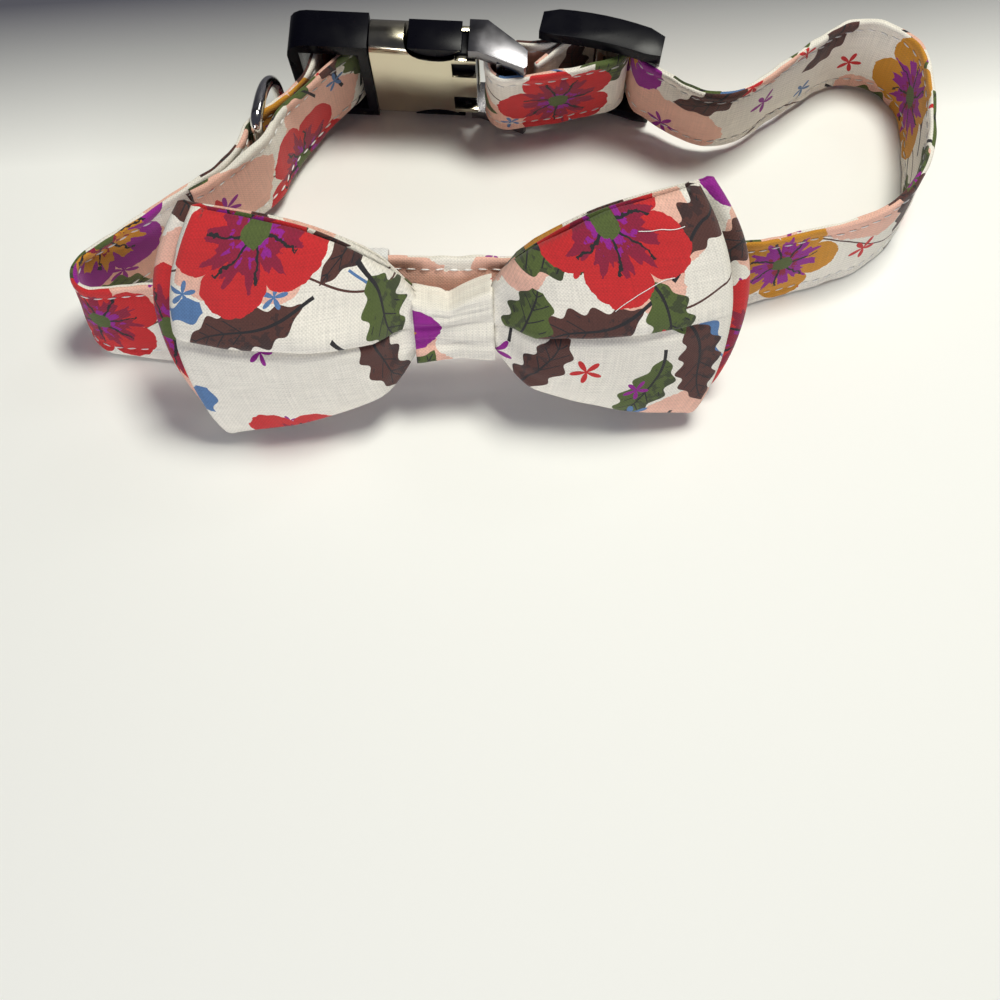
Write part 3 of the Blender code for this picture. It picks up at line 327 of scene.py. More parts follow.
def put(name, data, **settings):
    """An object of this name and data, in the scene."""
    obj = bpy.data.objects.new(name, data)
    bpy.context.scene.collection.objects.link(obj)
    return adjust(obj, **settings)


def smooth(mesh):
    """Points a mesh's faces outwards and shades them smooth."""
    bm = bmesh.new()
    bm.from_mesh(mesh)
    bmesh.ops.recalc_face_normals(bm, faces=bm.faces)
    bm.to_mesh(mesh)
    bm.free()
    mesh.shade_smooth()


def modify(obj, kind, **settings):
    """Turns an object into the plain mesh that a modifier gives."""
    adjust(obj.modifiers.new(kind.lower(), kind), **settings)
    bpy.context.view_layer.update()
    evaluated = obj.evaluated_get(bpy.context.evaluated_depsgraph_get())
    mesh = bpy.data.meshes.new_from_object(evaluated)
    obj.modifiers.clear()
    obj.data = mesh


def merged(node):
    """A mesh copy of a CAD node with its loose triangles joined up and its flat faces whole."""
    bm = bmesh.new()
    bm.from_mesh(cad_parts[node].data)
    bmesh.ops.remove_doubles(bm, verts=bm.verts, dist=WELD)
    bmesh.ops.dissolve_limit(bm, angle_limit=FLAT_ANGLE, verts=bm.verts, edges=bm.edges)
    return bm


def place(obj, finish, *nodes, body="collar"):
    """Gives a finished piece its material and its body, and hides the CAD nodes it stands for."""
    obj.data.materials.clear()
    obj.data.materials.append(FINISHES[finish])
    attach(obj, body)
    if nodes:
        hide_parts(*nodes)
    return obj


# Shader wiring

def reckon(operation):
    """An operator that makes a math node."""
    return lambda self, *others: self.w.math(operation, self, *others)


class Value:
    """A number that a node gives, to reckon with like any other."""
    __add__ = __radd__ = reckon("ADD")
    __mul__ = __rmul__ = reckon("MULTIPLY")
    __sub__ = reckon("SUBTRACT")
    __lt__ = reckon("LESS_THAN")
    __gt__ = reckon("GREATER_THAN")
    __abs__ = reckon("ABSOLUTE")

    def __init__(self, w, socket):
        self.w, self.socket = w, socket

    def __rsub__(self, other):
        return self.w.math("SUBTRACT", other, self)


class Wiring:
    """Makes and joins the nodes of one tree."""

    def __init__(self, tree):
        self.tree = tree

    def node(self, kind, inputs=(), **settings):
        """A node with its settings, then its inputs given as {name or number: value or socket}."""
        made = adjust(self.tree.nodes.new(kind), **settings)
        for name, value in dict(inputs).items():
            self.feed(made.inputs[name], value)
        return made

    def given(self, kind, inputs=(), **settings):
        """What a new node gives, by name."""
        return {socket.name: Value(self, socket) for socket in self.node(kind, inputs, **settings).outputs}

    def first(self, kind, inputs=(), **settings):
        """What a new node gives first."""
        return Value(self, self.node(kind, inputs, **settings).outputs[0])

    def feed(self, socket, value):
        value = value.socket if isinstance(value, Value) else value
        if isinstance(value, bpy.types.NodeSocket):
            self.tree.links.new(value, socket)
        else:
            socket.default_value = value

    def math(self, operation, *values):
        return self.first("ShaderNodeMath", enumerate(values), operation=operation)

    def vector(self, operation, *values):
        given = self.given("ShaderNodeVectorMath", enumerate(values), operation=operation)
        return given["Value" if operation == "LENGTH" else "Vector"]

    def near(self, value, width):
        """1 where a value is within a width of zero."""
        return abs(value) < width

    def wave(self, value, scale=1.0, shift=0.0):
        return self.math("SINE", self.math("MULTIPLY_ADD", value, scale, shift))

    def zigzag(self, value, height):
        return self.math("PINGPONG", value, height)

    def over(self, colour, mask, paint):
        """Paints a colour over another where the mask is 1."""
        colour, paint = [value + (1.0,) if isinstance(value, tuple) else value for value in (colour, paint)]
        return self.node("ShaderNodeMix", {0: mask, 6: colour, 7: paint}, data_type="RGBA").outputs[2]

    def noise(self, at, scale, detail=2.0, dimensions="3D"):
        inputs = {"Vector": at, "Scale": scale, "Detail": detail}
        return self.first("ShaderNodeTexNoise", inputs, noise_dimensions=dimensions)

    def split(self, at):
        return self.given("ShaderNodeSeparateXYZ", {0: at}).values()

    def join(self, x, y, z=0.0):
        return self.first("ShaderNodeCombineXYZ", enumerate((x, y, z)))

    def ramp(self, value, low, high, start=0.0, end=1.0):
        """A value from start to end as another goes from low to high."""
        return self.first("ShaderNodeMapRange", enumerate((value, low, high, start, end)))

    def cloth(self):
        return self.first("ShaderNodeUVMap", uv_map="cloth")

    def place(self):
        return self.given("ShaderNodeTexCoord")["Object"]


def new_group(name, inputs, outputs):
    """A shader node group with sockets given as {name: kind}, its wiring, and what it is given and gives."""
    tree = bpy.data.node_groups.new(name, "ShaderNodeTree")
    for side, sockets in (("INPUT", inputs), ("OUTPUT", outputs)):
        for label, kind in sockets.items():
            tree.interface.new_socket(label, in_out=side, socket_type="NodeSocket" + kind)
    w = Wiring(tree)
    return tree, w, w.given("NodeGroupInput"), w.node("NodeGroupOutput").inputs


def make_motif_group():
    """Scatters a motif once in each cell of the cloth, turned at random: gives each point its place there."""
    tree, w, given, result = new_group(
        "scattered motif", {"Cloth": "Vector", "Cell": "Float", "Spread": "Float", "Shift": "Float"},
        dict.fromkeys(("Along", "Across", "Radius", "Angle", "Pick", "Second Pick"), "Float"))
    cell, shift = given["Cell"], given["Shift"]
    shifted = w.vector("ADD", given["Cloth"], w.join(shift, shift * 1.7))
    scaled = w.vector("DIVIDE", shifted, w.join(cell, cell, 1.0))
    cells = w.given("ShaderNodeTexVoronoi", {"Vector": scaled, "Scale": 1.0, "Randomness": given["Spread"]},
                    voronoi_dimensions="2D")
    flat, middle = [w.vector("MULTIPLY", at, (1.0, 1.0, 0.0)) for at in (scaled, cells["Position"])]
    local = w.vector("MULTIPLY", w.vector("SUBTRACT", flat, middle), w.join(cell, cell))
    pick, second_pick, angle = w.split(cells["Color"])
    turned = w.given("ShaderNodeVectorRotate", {"Vector": local, "Angle": angle * (2 * math.pi)},
                     rotation_type="Z_AXIS")["Vector"]
    along, across, _ = w.split(turned)
    for name, value in (("Along", along), ("Across", across), ("Radius", w.vector("LENGTH", local)),
                        ("Angle", w.math("ARCTAN2", across, along)), ("Pick", pick),
                        ("Second Pick", second_pick)):
        w.feed(result[name], value)
    return tree


class Print:
    """Paints motifs on ivory cloth, one kind over another."""

    def __init__(self, w, motif, cloth):
        self.w, self.motif, self.cloth = w, motif, cloth
        self.ragged = w.noise(cloth, 0.55, 3.0, "2D") - 0.5
        self.colour = IVORY

    def scatter(self, kind):
        """A motif's own distances and angle in mm and radians, and its two random picks."""
        cell, spread, shift = MOTIFS[kind]
        inputs = {"Cloth": self.cloth, "Cell": cell, "Spread": spread, "Shift": shift}
        return self.w.given("ShaderNodeGroup", inputs, node_tree=self.motif).values()

    def paint(self, paint, mask):
        self.colour = self.w.over(self.colour, mask, paint)

    def stems(self):
        """Long thin wandering stems."""
        w = self.w
        x, y, _ = w.split(self.cloth)
        level = y + 6.0 * w.wave(x, 0.11, 0.4) + 3.0 * w.wave(x, 0.047, 2.0)
        self.paint(BROWN, w.near(w.zigzag(level, 29.0), LINE_HALF))

    def blooms(self):
        """Large pale blooms with soft lobes and a few red dabs."""
        w = self.w
        _, _, radius, angle, pick, _ = self.scatter("bloom")
        share = 0.66 + 0.30 * abs(w.wave(angle, 1.5, 0.6)) + 0.05 * w.wave(angle, 7.0)
        inside = radius + self.ragged * 1.6 < BLOOM_SIZE * share
        self.paint(PEACH, inside)
        along, across, _, _, dab_pick, _ = self.scatter("dab")
        drop = w.near(across, 0.9 + -0.45 * along) * w.near(along, 1.5) * (dab_pick > 0.66)
        self.paint(RED, drop * (radius < 8.0) * inside)
        star = radius < 3.6 * (0.55 + 0.45 * w.wave(angle, 6.0))
        self.paint(PURPLE, star * (pick > 0.55))

    def buds(self):
        """Blue buds, each on its own thin stalk."""
        w = self.w
        along, across, _, _, pick, _ = self.scatter("bud")
        stalk = w.near(across + 0.8 * w.wave(along, 0.3), LINE_HALF) * w.near(along + 7.0, 5.0)
        self.paint(BLUE, stalk * (pick > 0.5))
        width = 2.6 * (0.7 + 0.3 * w.wave(along, 1.1, 1.0))
        self.paint(BLUE, w.near(across, width) * w.near(along, 3.2) * (pick > 0.5))

    def leaves(self, kind, length, width, paint):
        """Leaves with a wavy edge, a midrib that runs on as a stalk, and side veins."""
        w = self.w
        along, across, _, _, pick, _ = self.scatter(kind)
        across = across + 0.9 * w.wave(along, 0.28)
        share = w.math("DIVIDE", along, length)
        edge = width * (1.0 - share * share) * (0.84 + 0.16 * w.wave(along, 1.5))
        shown = pick < 0.82
        inside = w.near(across, edge) * shown
        self.paint(paint, inside)
        self.paint(INK, inside * (self.ragged + across * 0.05 > 0.12) * 0.55)
        vein = w.near(w.zigzag(along + -1.1 * abs(across), 1.55), 0.16)
        self.paint(INK, inside * vein * w.near(across, edge * 0.75) * (along > -0.1))
        rib = w.near(across, LINE_HALF + -0.012 * along)
        self.paint(INK, rib * w.near(along + length * 0.25, length * 1.15) * shown)

    def flowers(self):
        """Large open flowers: round petals, a ragged burst, dark rays and a green eye. Gives the petals."""
        w, ragged = self.w, self.ragged
        _, _, radius, angle, pick, second_pick = self.scatter("flower")
        size = 11.8 + 3.2 * second_pick
        lobes = w.math("POWER", abs(w.wave(angle, 2.5)), 0.55)
        shown, red, purple = pick < 0.80, pick > 0.36, pick > 0.60
        petals = (radius + ragged * 1.2 < size * (0.66 + 0.34 * lobes)) * shown

        def by_kind(mustard_one, red_one, purple_one):
            return w.over(w.over(mustard_one, red, red_one), purple, purple_one)
        self.paint(by_kind(MUSTARD, RED, PURPLE), petals)
        rays, fine = [w.zigzag(angle * count, 1.0) for count in (3.5, 9.0)]
        reach = size * (0.34 + 0.26 * rays + 0.13 * fine + 0.22 * ragged)
        self.paint(by_kind(PURPLE, CRIMSON, MUSTARD), (radius < reach) * shown)
        self.paint(by_kind(CRIMSON, PURPLE, CRIMSON), (radius < reach * 0.58) * shown * (ragged > 0.0))
        bent = w.math("SINE", angle * 3.5 + radius * 0.08 + ragged * 1.1)
        line = abs(bent) * radius < 0.85
        self.paint(INK, line * (radius > size * 0.14) * (radius < size * 0.62) * shown)
        self.paint(OLIVE, (radius + ragged * 1.5 < size * 0.17) * shown)
        return petals

    def stars(self, ground):
        """Small stars between the large flowers."""
        w = self.w
        _, _, radius, angle, pick, second_pick = self.scatter("star")
        points = 0.56 + 0.44 * w.wave(angle, 5.0)
        paint = w.over(w.over(PURPLE, pick > 0.72, BLUE), pick > 0.86, RED)
        self.paint(paint, (radius < (1.8 + 1.6 * second_pick) * points) * (pick > 0.58) * ground)


def make_print_group(motif):
    """A floral print on ivory cloth, laid out by chance from the cloth's own coordinates in mm."""
    tree, w, given, result = new_group("floral print", {"Cloth": "Vector"}, {"Colour": "Color"})
    floral = Print(w, motif, given["Cloth"])
    floral.stems()
    floral.blooms()
    floral.buds()
    floral.leaves("brown leaf", *BROWN_LEAF, BROWN)
    floral.leaves("green leaf", *GREEN_LEAF, OLIVE)
    floral.stars(1.0 - floral.flowers())
    w.feed(result["Colour"], floral.colour)
    return tree


def make_weave_group():
    """A plain weave: its height, and a tone that is uneven along the yarn, with painted shading that makes
    the top of each thread lighter.
    """
    tree, w, given, result = new_group("plain weave", {"Cloth": "Vector"},
                                       dict.fromkeys(("Shade", "Height"), "Float"))
    across, up, _ = w.split(w.vector("DIVIDE", given["Cloth"], (THREAD_PITCH, THREAD_PITCH, 1.0)))
    threads = w.wave(across, math.pi) * w.wave(up, math.pi)
    slubs, ends = [w.noise(w.join(across * x, up * y), 1.0) for x, y in ((0.05, 1.3), (1.3, 0.05))]
    uneven = slubs + ends - 1.0
    w.feed(result["Height"], 0.5 + threads * 0.35 + uneven * 0.8)
    # Painted shading: lighter on top of each thread, mixed with the yarn's own uneven tone
    w.feed(result["Shade"], 0.5 + threads * 0.22 + uneven * 0.9)
    return tree


def make_wear_group():
    """Faint smudges and fine grain for hard finishes."""
    tree, w, given, result = new_group("handling marks", {"Place": "Vector"},
                                       dict.fromkeys(("Smudge", "Grain"), "Float"))
    w.feed(result["Smudge"], w.noise(given["Place"], 220.0, 3.0))
    w.feed(result["Grain"], w.noise(given["Place"], 6000.0))
    return tree


def new_material(name, **values):
    """A material with its Principled shader set to plain values."""
    material = bpy.data.materials.new(name)
    material.use_nodes = True
    shader = material.node_tree.nodes["Principled BSDF"]
    for label, value in values.items():
        shader.inputs[label.replace("_", " ")].default_value = value
    return material, Wiring(material.node_tree), shader


def bump(w, shader, height, strength, distance):
    """Gives a shader fine relief: a height, how strongly it shows, and how deep it is in metres."""
    inputs = {"Height": height, "Strength": strength, "Distance": distance}
    w.feed(shader.inputs["Normal"], w.first("ShaderNodeBump", inputs))


def cotton(name, weave, floral):
    """Printed cotton cloth with its weave."""
    material, w, shader = new_material(name, Roughness=0.86, Sheen_Weight=0.12, Sheen_Roughness=0.6)
    cloth = w.cloth()
    threads, base = [w.given("ShaderNodeGroup", {"Cloth": cloth}, node_tree=tree) for tree in (weave, floral)]
    # The weave's tone, with its painted thread-top shading and real yarn unevenness, scales the print's
    # colour
    light = w.ramp(threads["Shade"], 0.0, 1.0, 0.72, 1.14)
    w.feed(shader.inputs["Base Color"], w.vector("MULTIPLY", base["Colour"], w.join(light, light, light)))
    crease = w.noise(cloth, 0.22, 3.0, "2D")
    bump(w, shader, threads["Height"] + crease * 1.6, 0.55, 0.00012)
    return material


def make_materials():
    """Makes every finish of the collar."""
    weave, wear = make_weave_group(), make_wear_group()
    FINISHES["printed"] = cotton("printed cotton", weave, make_print_group(make_motif_group()))
    for name, (title, roughness, grain, values) in HARD_FINISHES.items():
        FINISHES[name], w, shader = new_material(title, **values)
        marks = w.given("ShaderNodeGroup", {"Place": w.place()}, node_tree=wear)
        w.feed(shader.inputs["Roughness"], w.ramp(marks["Smudge"], 0.35, 0.75, *roughness))
        bump(w, shader, marks["Grain"], grain, 0.00002)
    FINISHES["thread"], w, shader = new_material("white thread", Roughness=0.6, Sheen_Weight=0.2)
    w.feed(shader.inputs["Base Color"], w.over(THREAD_DARK, w.noise(w.place(), 900.0), THREAD_LIGHT))
    FINISHES["elastic"], w, shader = new_material("white elastic", Roughness=0.8)
    along, up, _ = w.split(w.cloth())
    waves = [w.wave(at, 2 * math.pi / pitch) for at, pitch in zip((along, up), ELASTIC_PITCH)]
    ribs = 0.5 + 0.5 * waves[0] * waves[1]
    # Painted shading: the ribs' tops are lit and their grooves shaded in the colour, along the same ribs as
    # the bump
    w.feed(shader.inputs["Base Color"], w.over(ELASTIC_GROOVE_SHADE, ribs, ELASTIC_RIB_TOP_LIGHT))
    bump(w, shader, ribs, 0.6, 0.00015)


# Strap

def strap_rings():
    """The CAD strap's cross-sections from the D-ring's end on, as (neck side, outer side) edge pairs."""
    bm = bmesh.new()
    bm.from_mesh(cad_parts["strap"].data)
    bmesh.ops.remove_doubles(bm, verts=bm.verts, dist=WELD)
    sizes = [2 * STRAP_HALF_WIDTH * MM, STRAP_THICK * MM]
    sizes.append(math.hypot(*sizes))
    ends = [face for face in bm.faces
            if all(min(abs(edge.calc_length() - size) for edge in face.edges) < SAME_SIZE for size in sizes)]
    start = min(ends, key=lambda face: face.calc_center_median().x)
    first = {corner for face in ends for corner in face.verts
             if (face.calc_center_median() - start.calc_center_median()).length < STRAP_END_REACH * MM}
    rings, seen, ring = [], set(), first
    while ring:
        rings.append(ring)
        seen |= ring
        ring = {edge.other_vert(corner) for corner in ring for edge in corner.link_edges} - seen
    ordered = []
    for ring in rings:
        low = sorted((corner.co.copy() for corner in ring), key=lambda point: point.z)
        bottom, top = low[:2], low[2:]
        if ordered and pairing(ordered[-1][0], bottom) > pairing(ordered[-1][0], bottom[::-1]):
            bottom.reverse()
        if pairing(bottom, top) > pairing(bottom, top[::-1]):
            top.reverse()
        ordered.append((bottom, top))
    bm.free()
    return ordered


def pairing(ones, others):
    """How far two points are from two others, taken in order."""
    return sum((one - other).length for one, other in zip(ones, others))


class StrapPath:
    """The strap's middle line with its axes, read at any distance in mm along it."""

    def __init__(self):
        rows = []
        for bottom, top in strap_rings():
            middle = (bottom[0] + bottom[1] + top[0] + top[1]) / 4
            face = ((bottom[0] - bottom[1]) + (top[0] - top[1])).normalized()
            across = ((top[0] + top[1]) - (bottom[0] + bottom[1])).normalized()
            rows.append((middle / MM, across, face))
        bow = min(rows, key=lambda row: (row[0] * MM - Vector(BOW_PLACE)).length)
        if bow[2].y < 0:
            rows = [(middle, across, -face) for middle, across, face in rows]
        self.rows = rows
        self.places = [0.0]
        for before, after in zip(rows, rows[1:]):
            self.places.append(self.places[-1] + (after[0] - before[0]).length)
        self.length = self.places[-1]

    def tangent(self, i, part):
        low, high = max(i - 1, 0), min(i + 1, len(self.rows) - 1)
        if part == 0 and 0 < i < len(self.rows) - 1:
            before = (self.rows[i][0] - self.rows[low][0]).normalized()
            after = (self.rows[high][0] - self.rows[i][0]).normalized()
            return (before + after).normalized()
        return (self.rows[high][part] - self.rows[low][part]) / (self.places[high] - self.places[low])

    def read(self, at):
        """The middle in mm, the unit vector up the width and the one out of the neck side."""
        at = min(max(at, 0.0), self.length)
        i = min(bisect_right(self.places, at), len(self.rows) - 1) - 1
        span = self.places[i + 1] - self.places[i]
        t = (at - self.places[i]) / span
        middle, across, face = [hermite(self.rows[i][part], self.rows[i + 1][part],
                                        self.tangent(i, part) * span, self.tangent(i + 1, part) * span, t)
                                for part in range(3)]
        face.normalize()
        across = (across - face * across.dot(face)).normalized()
        return middle, across, face


def strap_point(path, at, out, side, level):
    """A point on the strap's soft surface, in metres, and the way out of it."""
    middle, across, face = path.read(at)
    rim = max(0.0, (abs(out) - STRAP_HALF_WIDTH / 2) / (STRAP_HALF_WIDTH / 2))
    soft = STRAP_SOFTNESS * wander(at / 5.0, out / 5.0, side * 3.0) * min(level / 0.5, 1.0)
    from_seam = (abs(out) - SEAM_LINE) / SEAM_PUCKER_WIDTH
    pucker = SEAM_PUCKER * math.cos(2 * math.pi * at / STITCH_PITCH) * math.exp(-from_seam ** 2)
    ripple = rim * (SHORT_RIPPLE * wander(at / 3.1, math.copysign(2.0, out))
                    + LONG_RIPPLE * wander(at / 9.0, out / 40.0, 5.0))
    height = max(level + soft + pucker, 0.0)
    return (middle + across * (out + ripple) + face * side * height) * MM, face * side


def build_strap(path):
    """The folded and top-stitched strap, thicker at its hems, with the stitches drawing it in."""
    half = [(-out, level) for out, level in reversed(STRAP_SECTION)] + list(STRAP_SECTION[1:])
    section = [(out, level, 1) for out, level in half]
    section += [(out, level, -1) for out, level in half[-2:0:-1]]
    lengths = distances([(out, side * level) for out, level, side in section])
    count = round(path.length / STRAP_STEP)
    places = [path.length * i / count for i in range(count + 1)]
    rows = [[strap_point(path, at, out, side, level)[0] for out, level, side in section] for at in places]

    def cloth(i, j, face_column):
        cut = OUTER_FACE_CUT if face_column >= len(half) - 1 else (0.0, 0.0)
        return places[i] + cut[0], lengths[j] + cut[1]
    strap = skin("strap_cloth", rows, cloth, capped=True)
    return place(strap, "printed", "strap")


# Stitches

def make_stitch_tree(material):
    """Lays one short rounded thread after another along lines of points that know their way out."""
    tree = bpy.data.node_groups.new("row of stitches", "GeometryNodeTree")
    tree.interface.new_socket("Lines", in_out="INPUT", socket_type="NodeSocketGeometry")
    for label, default in (("Pitch", STITCH_PITCH * MM), ("Length", STITCH_LENGTH * MM),
                           ("Radius", STITCH_RADIUS * MM), ("Slant", math.radians(STITCH_SLANT))):
        socket = tree.interface.new_socket(label, in_out="INPUT", socket_type="NodeSocketFloat")
        socket.default_value = default
    tree.interface.new_socket("Stitches", in_out="OUTPUT", socket_type="NodeSocketGeometry")
    w = Wiring(tree)
    given = w.given("NodeGroupInput")
    curve = w.first("GeometryNodeMeshToCurve", {0: given["Lines"]})
    points = w.given("GeometryNodeCurveToPoints", {"Curve": curve, "Length": given["Pitch"]}, mode="LENGTH")
    along = w.first("FunctionNodeAlignRotationToVector", {"Vector": points["Tangent"]}, axis="X")
    out = w.first("GeometryNodeInputNamedAttribute", {"Name": "out"}, data_type="FLOAT_VECTOR")
    upright = w.first("FunctionNodeAlignRotationToVector", {"Rotation": along, "Vector": out},
                      axis="Z", pivot_axis="X")
    chance = w.node("FunctionNodeRandomValue", {"Seed": 7}, data_type="FLOAT")
    low, high = [socket for socket in chance.inputs
                 if socket.type == "VALUE" and socket.name in ("Min", "Max")]
    w.feed(low, given["Slant"] * -1.0)
    w.feed(high, given["Slant"])
    slant = [socket for socket in chance.outputs if socket.type == "VALUE"][0]
    turned = w.first("FunctionNodeRotateRotation",
                     {"Rotation": upright, "Rotate By": w.join(0.0, 0.0, slant)}, rotation_space="LOCAL")
    bead = w.first("GeometryNodeMeshUVSphere", {"Segments": 6, "Rings": 5, "Radius": 1.0})
    size = w.join(given["Length"] * 0.5, given["Radius"], given["Radius"])
    shaped = w.first("GeometryNodeTransform", {"Geometry": bead, "Scale": size})
    rounded = w.first("GeometryNodeSetShadeSmooth", {"Geometry": shaped})
    copies = w.first("GeometryNodeInstanceOnPoints",
                     {"Points": points["Points"], "Instance": rounded, "Rotation": turned})
    whole = w.first("GeometryNodeRealizeInstances", {0: copies})
    painted = w.first("GeometryNodeSetMaterial", {"Geometry": whole, "Material": material})
    w.node("NodeGroupOutput", {0: painted})
    return tree


def sew(name, lines):
    """Stitches along lines of (point, way out), as one plain mesh."""
    edges, at = [], 0
    for line in lines:
        edges += [(at + i, at + i + 1) for i in range(len(line) - 1)]
        at += len(line)
    mesh = bpy.data.meshes.new(name)
    mesh.from_pydata([point for line in lines for point, _ in line], edges, [])
    attribute = mesh.attributes.new("out", "FLOAT_VECTOR", "POINT")
    attribute.data.foreach_set("vector", [value for line in lines for _, out in line for value in out])
    obj = put(name, mesh)
    modify(obj, "NODES", node_group=make_stitch_tree(FINISHES["thread"]))
    return place(obj, "thread")


def build_strap_stitches(path):
    """Two rows along each face, a cross where the plies meet at the buckle, and the seams."""
    steps = round(path.length / STRAP_STEP)
    lines = [[strap_point(path, path.length * i / steps, out, side, HEM_STITCH_LEVEL)
              for i in range(2, steps - 1)] for side in (1, -1) for out in (-SEAM_LINE, SEAM_LINE)]
    for side, start, end, half in CROSSES:
        corners = (start, -half), (end, half), (start, half), (end, -half)
        lines += [flat_line(path, side, corners[i], corners[j]) for i, j in ((0, 1), (2, 3), (0, 2))]
    end = path.length - END_SEAM_INSET
    lines.append(flat_line(path, -1, (end, -END_SEAM_HALF), (end, END_SEAM_HALF)))
    return sew("strap_thread", lines)


def flat_line(path, side, first, last, steps=24):
    """A straight line of stitches on one face, between two (distance, out from the middle) corners."""
    (start, low), (end, high) = first, last
    return [strap_point(path, start + (end - start) * i / steps, low + (high - low) * i / steps, side,
                        FLAT_STITCH_LEVEL) for i in range(steps + 1)]


# Bow, in its own frame in mm: X across, Y up its slope, Z out of its face

def bow_frame():
    turn = Euler([math.radians(angle) for angle in BOW_TURN]).to_matrix().to_4x4()
    return Matrix.Translation(BOW_PLACE) @ turn @ Matrix.Scale(MM, 4)


def uneven(size, x, y, seed):
    """Soft unevenness of cloth at a place: size is how high, and how long across and up."""
    height, across, up = size
    return height * wander(x / across, y / up, seed)


def wing_row(layer, row, shift, rise, pleated):
    """One row of points round a bow layer's outer surface, from the left edge over the front and back."""
    draw = EDGE_TOP_DRAW if row > 0 else EDGE_BOTTOM_DRAW
    half = layer["width"] / 2 * (1 - draw * row * row)
    fold = 1 - FOLD_REACH / half
    calm = 1 - EDGE_CALM * abs(row) ** EDGE_CALM_POWER
    closing = math.sqrt(max(0.0, 1 - row ** CLOSING_POWER))
    stops = [math.sin(math.pi / 2 * i / HALF_COLUMNS) ** COLUMN_CROWDING * fold
             for i in range(HALF_COLUMNS + 1)]
    shares = [-stop for stop in reversed(stops[1:])] + stops

    def level(share):
        at = abs(share)
        return row * layer["height"] / 2 * read_curve(WING_HEIGHT, at) + WING_RAISE * at

    def back(share):
        return layer["stand"] + layer["lift"] * read_curve(WING_LIFT, abs(share))

    def front(share):
        at = abs(share)
        swell = read_curve(WING_PUFF, at)
        rise_here = back(share) + LEAST_GAP + (NECK_DEPTH - LEAST_GAP) * closing
        rise_here += layer["puff"] * calm * swell
        x, y = share * half, level(share)
        rise_here += swell * (uneven(BROAD_SWELL, x, y, layer["stand"]) + uneven(FINE_SWELL, x, y, 7.0))
        gather = math.exp(-((at - GATHER_PLACE) / GATHER_SPREAD) ** 2)
        return rise_here + GATHER_HEIGHT * gather * math.sin(9.0 * row + 1.3 * wander(row * 2.0, share * 3.0))

    def opening(share):
        return read_curve(RIGHT_PLEAT if share > 0 else LEFT_PLEAT, abs(share)) if pleated else 0.0
    points = [(share * half, level(share) + shift * opening(share),
               front(share) + PLEAT_DEPTH * rise * opening(share)) for share in shares]
    for side in (1, -1):
        middle = (front(side * fold) + back(side * fold)) / 2
        radius = (front(side * fold) - back(side * fold)) / 2
        if side == -1:
            points += [(share * half, level(share), back(share)) for share in reversed(shares[::2])]
        for step in range(1, FOLD_STEPS):
            angle = math.pi * step / FOLD_STEPS
            turn = math.cos(angle) * side
            share_left = (1 + turn) / 2 * opening(side)
            points.append((side * (fold * half + FOLD_REACH * math.sin(angle)),
                           level(side) + shift * share_left,
                           middle + radius * turn + PLEAT_DEPTH * rise * share_left))
    return points


def build_layer(name, node, layer, pleated):
    """A bow layer: one band of doubled cloth, folded round to its own back and lapped at the pleat."""
    lowest, highest = PLEAT_ROWS[0], PLEAT_ROWS[-1]
    over = [(row, 0.0, highest[2] * math.exp(-(row - highest[0]) / FADE_ABOVE)) for row in PLAIN_ROWS]
    under = [(-row, 0.0, lowest[2] * math.exp(-(row + lowest[0]) / FADE_BELOW))
             for row in reversed(PLAIN_ROWS)]
    table = under + list(PLEAT_ROWS) + over
    world = bow_frame()
    local = [wing_row(layer, row, shift, rise, pleated) for row, shift, rise in table]
    rows = [[world @ Vector(point) for point in points] for points in local]
    middle_row = local[len(local) // 2]
    around = distances([(x, z) for x, _, z in middle_row])

    def cloth(i, j, face_column):
        lap = PLEAT_LAP if table[i][0] > 0.0 and pleated else 0.0
        along = around[j]
        if face_column >= LEFT_FOLD_COLUMN:
            along -= around[-1]
        elif face_column >= RIGHT_FOLD_COLUMN:
            along = 2 * around[RIGHT_FOLD_COLUMN] - along
        return layer["cut"][0] + along, layer["cut"][1] + local[i][j % len(middle_row)][1] + lap
    obj = skin(name, rows, cloth)
    face = obj.data.polygons[len(obj.data.polygons) // 2]
    inward = (Vector(BOW_PLACE) - face.center).dot(face.normal) > 0
    modify(obj, "SOLIDIFY", thickness=CLOTH_THICK * MM, offset=1.0 if inward else -1.0,
           use_even_offset=False)
    smooth(obj.data)
    return place(obj, "printed", node)


def rounded_outline(width, height, radius, steps):
    """A rectangle with round corners, about its middle, with even points along its sides too."""
    points = []
    for corner, (sx, sy) in enumerate(((1, 1), (-1, 1), (-1, -1), (1, -1))):
        for step in range(steps + 1):
            angle = (corner + step / steps) * math.pi / 2
            points.append(Vector((sx * (width / 2 - radius) + radius * math.cos(angle),
                                  sy * (height / 2 - radius) + radius * math.sin(angle))))
    filled = []
    for before, after in zip(points, points[1:] + points[:1]):
        pieces = max(1, round((after - before).length / OUTLINE_STEP))
        filled += [before.lerp(after, piece / pieces) for piece in range(pieces)]
    return filled


def band(outline, half_width, wall, columns, shape):
    """Rows of points of a closed band: out over its outside and back along its inside."""
    count = len(outline)
    around = distances(outline)
    normals = []
    for i in range(count):
        run = (outline[(i + 1) % count] - outline[i - 1]).normalized()
        normals.append(Vector((run.y, -run.x)))
    rows = []
    for inside in (False, True):
        for column in range(columns + 1):
            share = (column / columns * 2 - 1) * (-1 if inside else 1)
            hem = BAND_HEM * abs(share) ** BAND_HEM_POWER
            depth = wall * (1 - hem) if inside else wall * hem
            rows.append([(share * half_width,
                          spot + normal * ((0.0 if inside else shape(share, along)) - depth))
                         for spot, normal, along in zip(outline, normals, around)])
    return rows, around


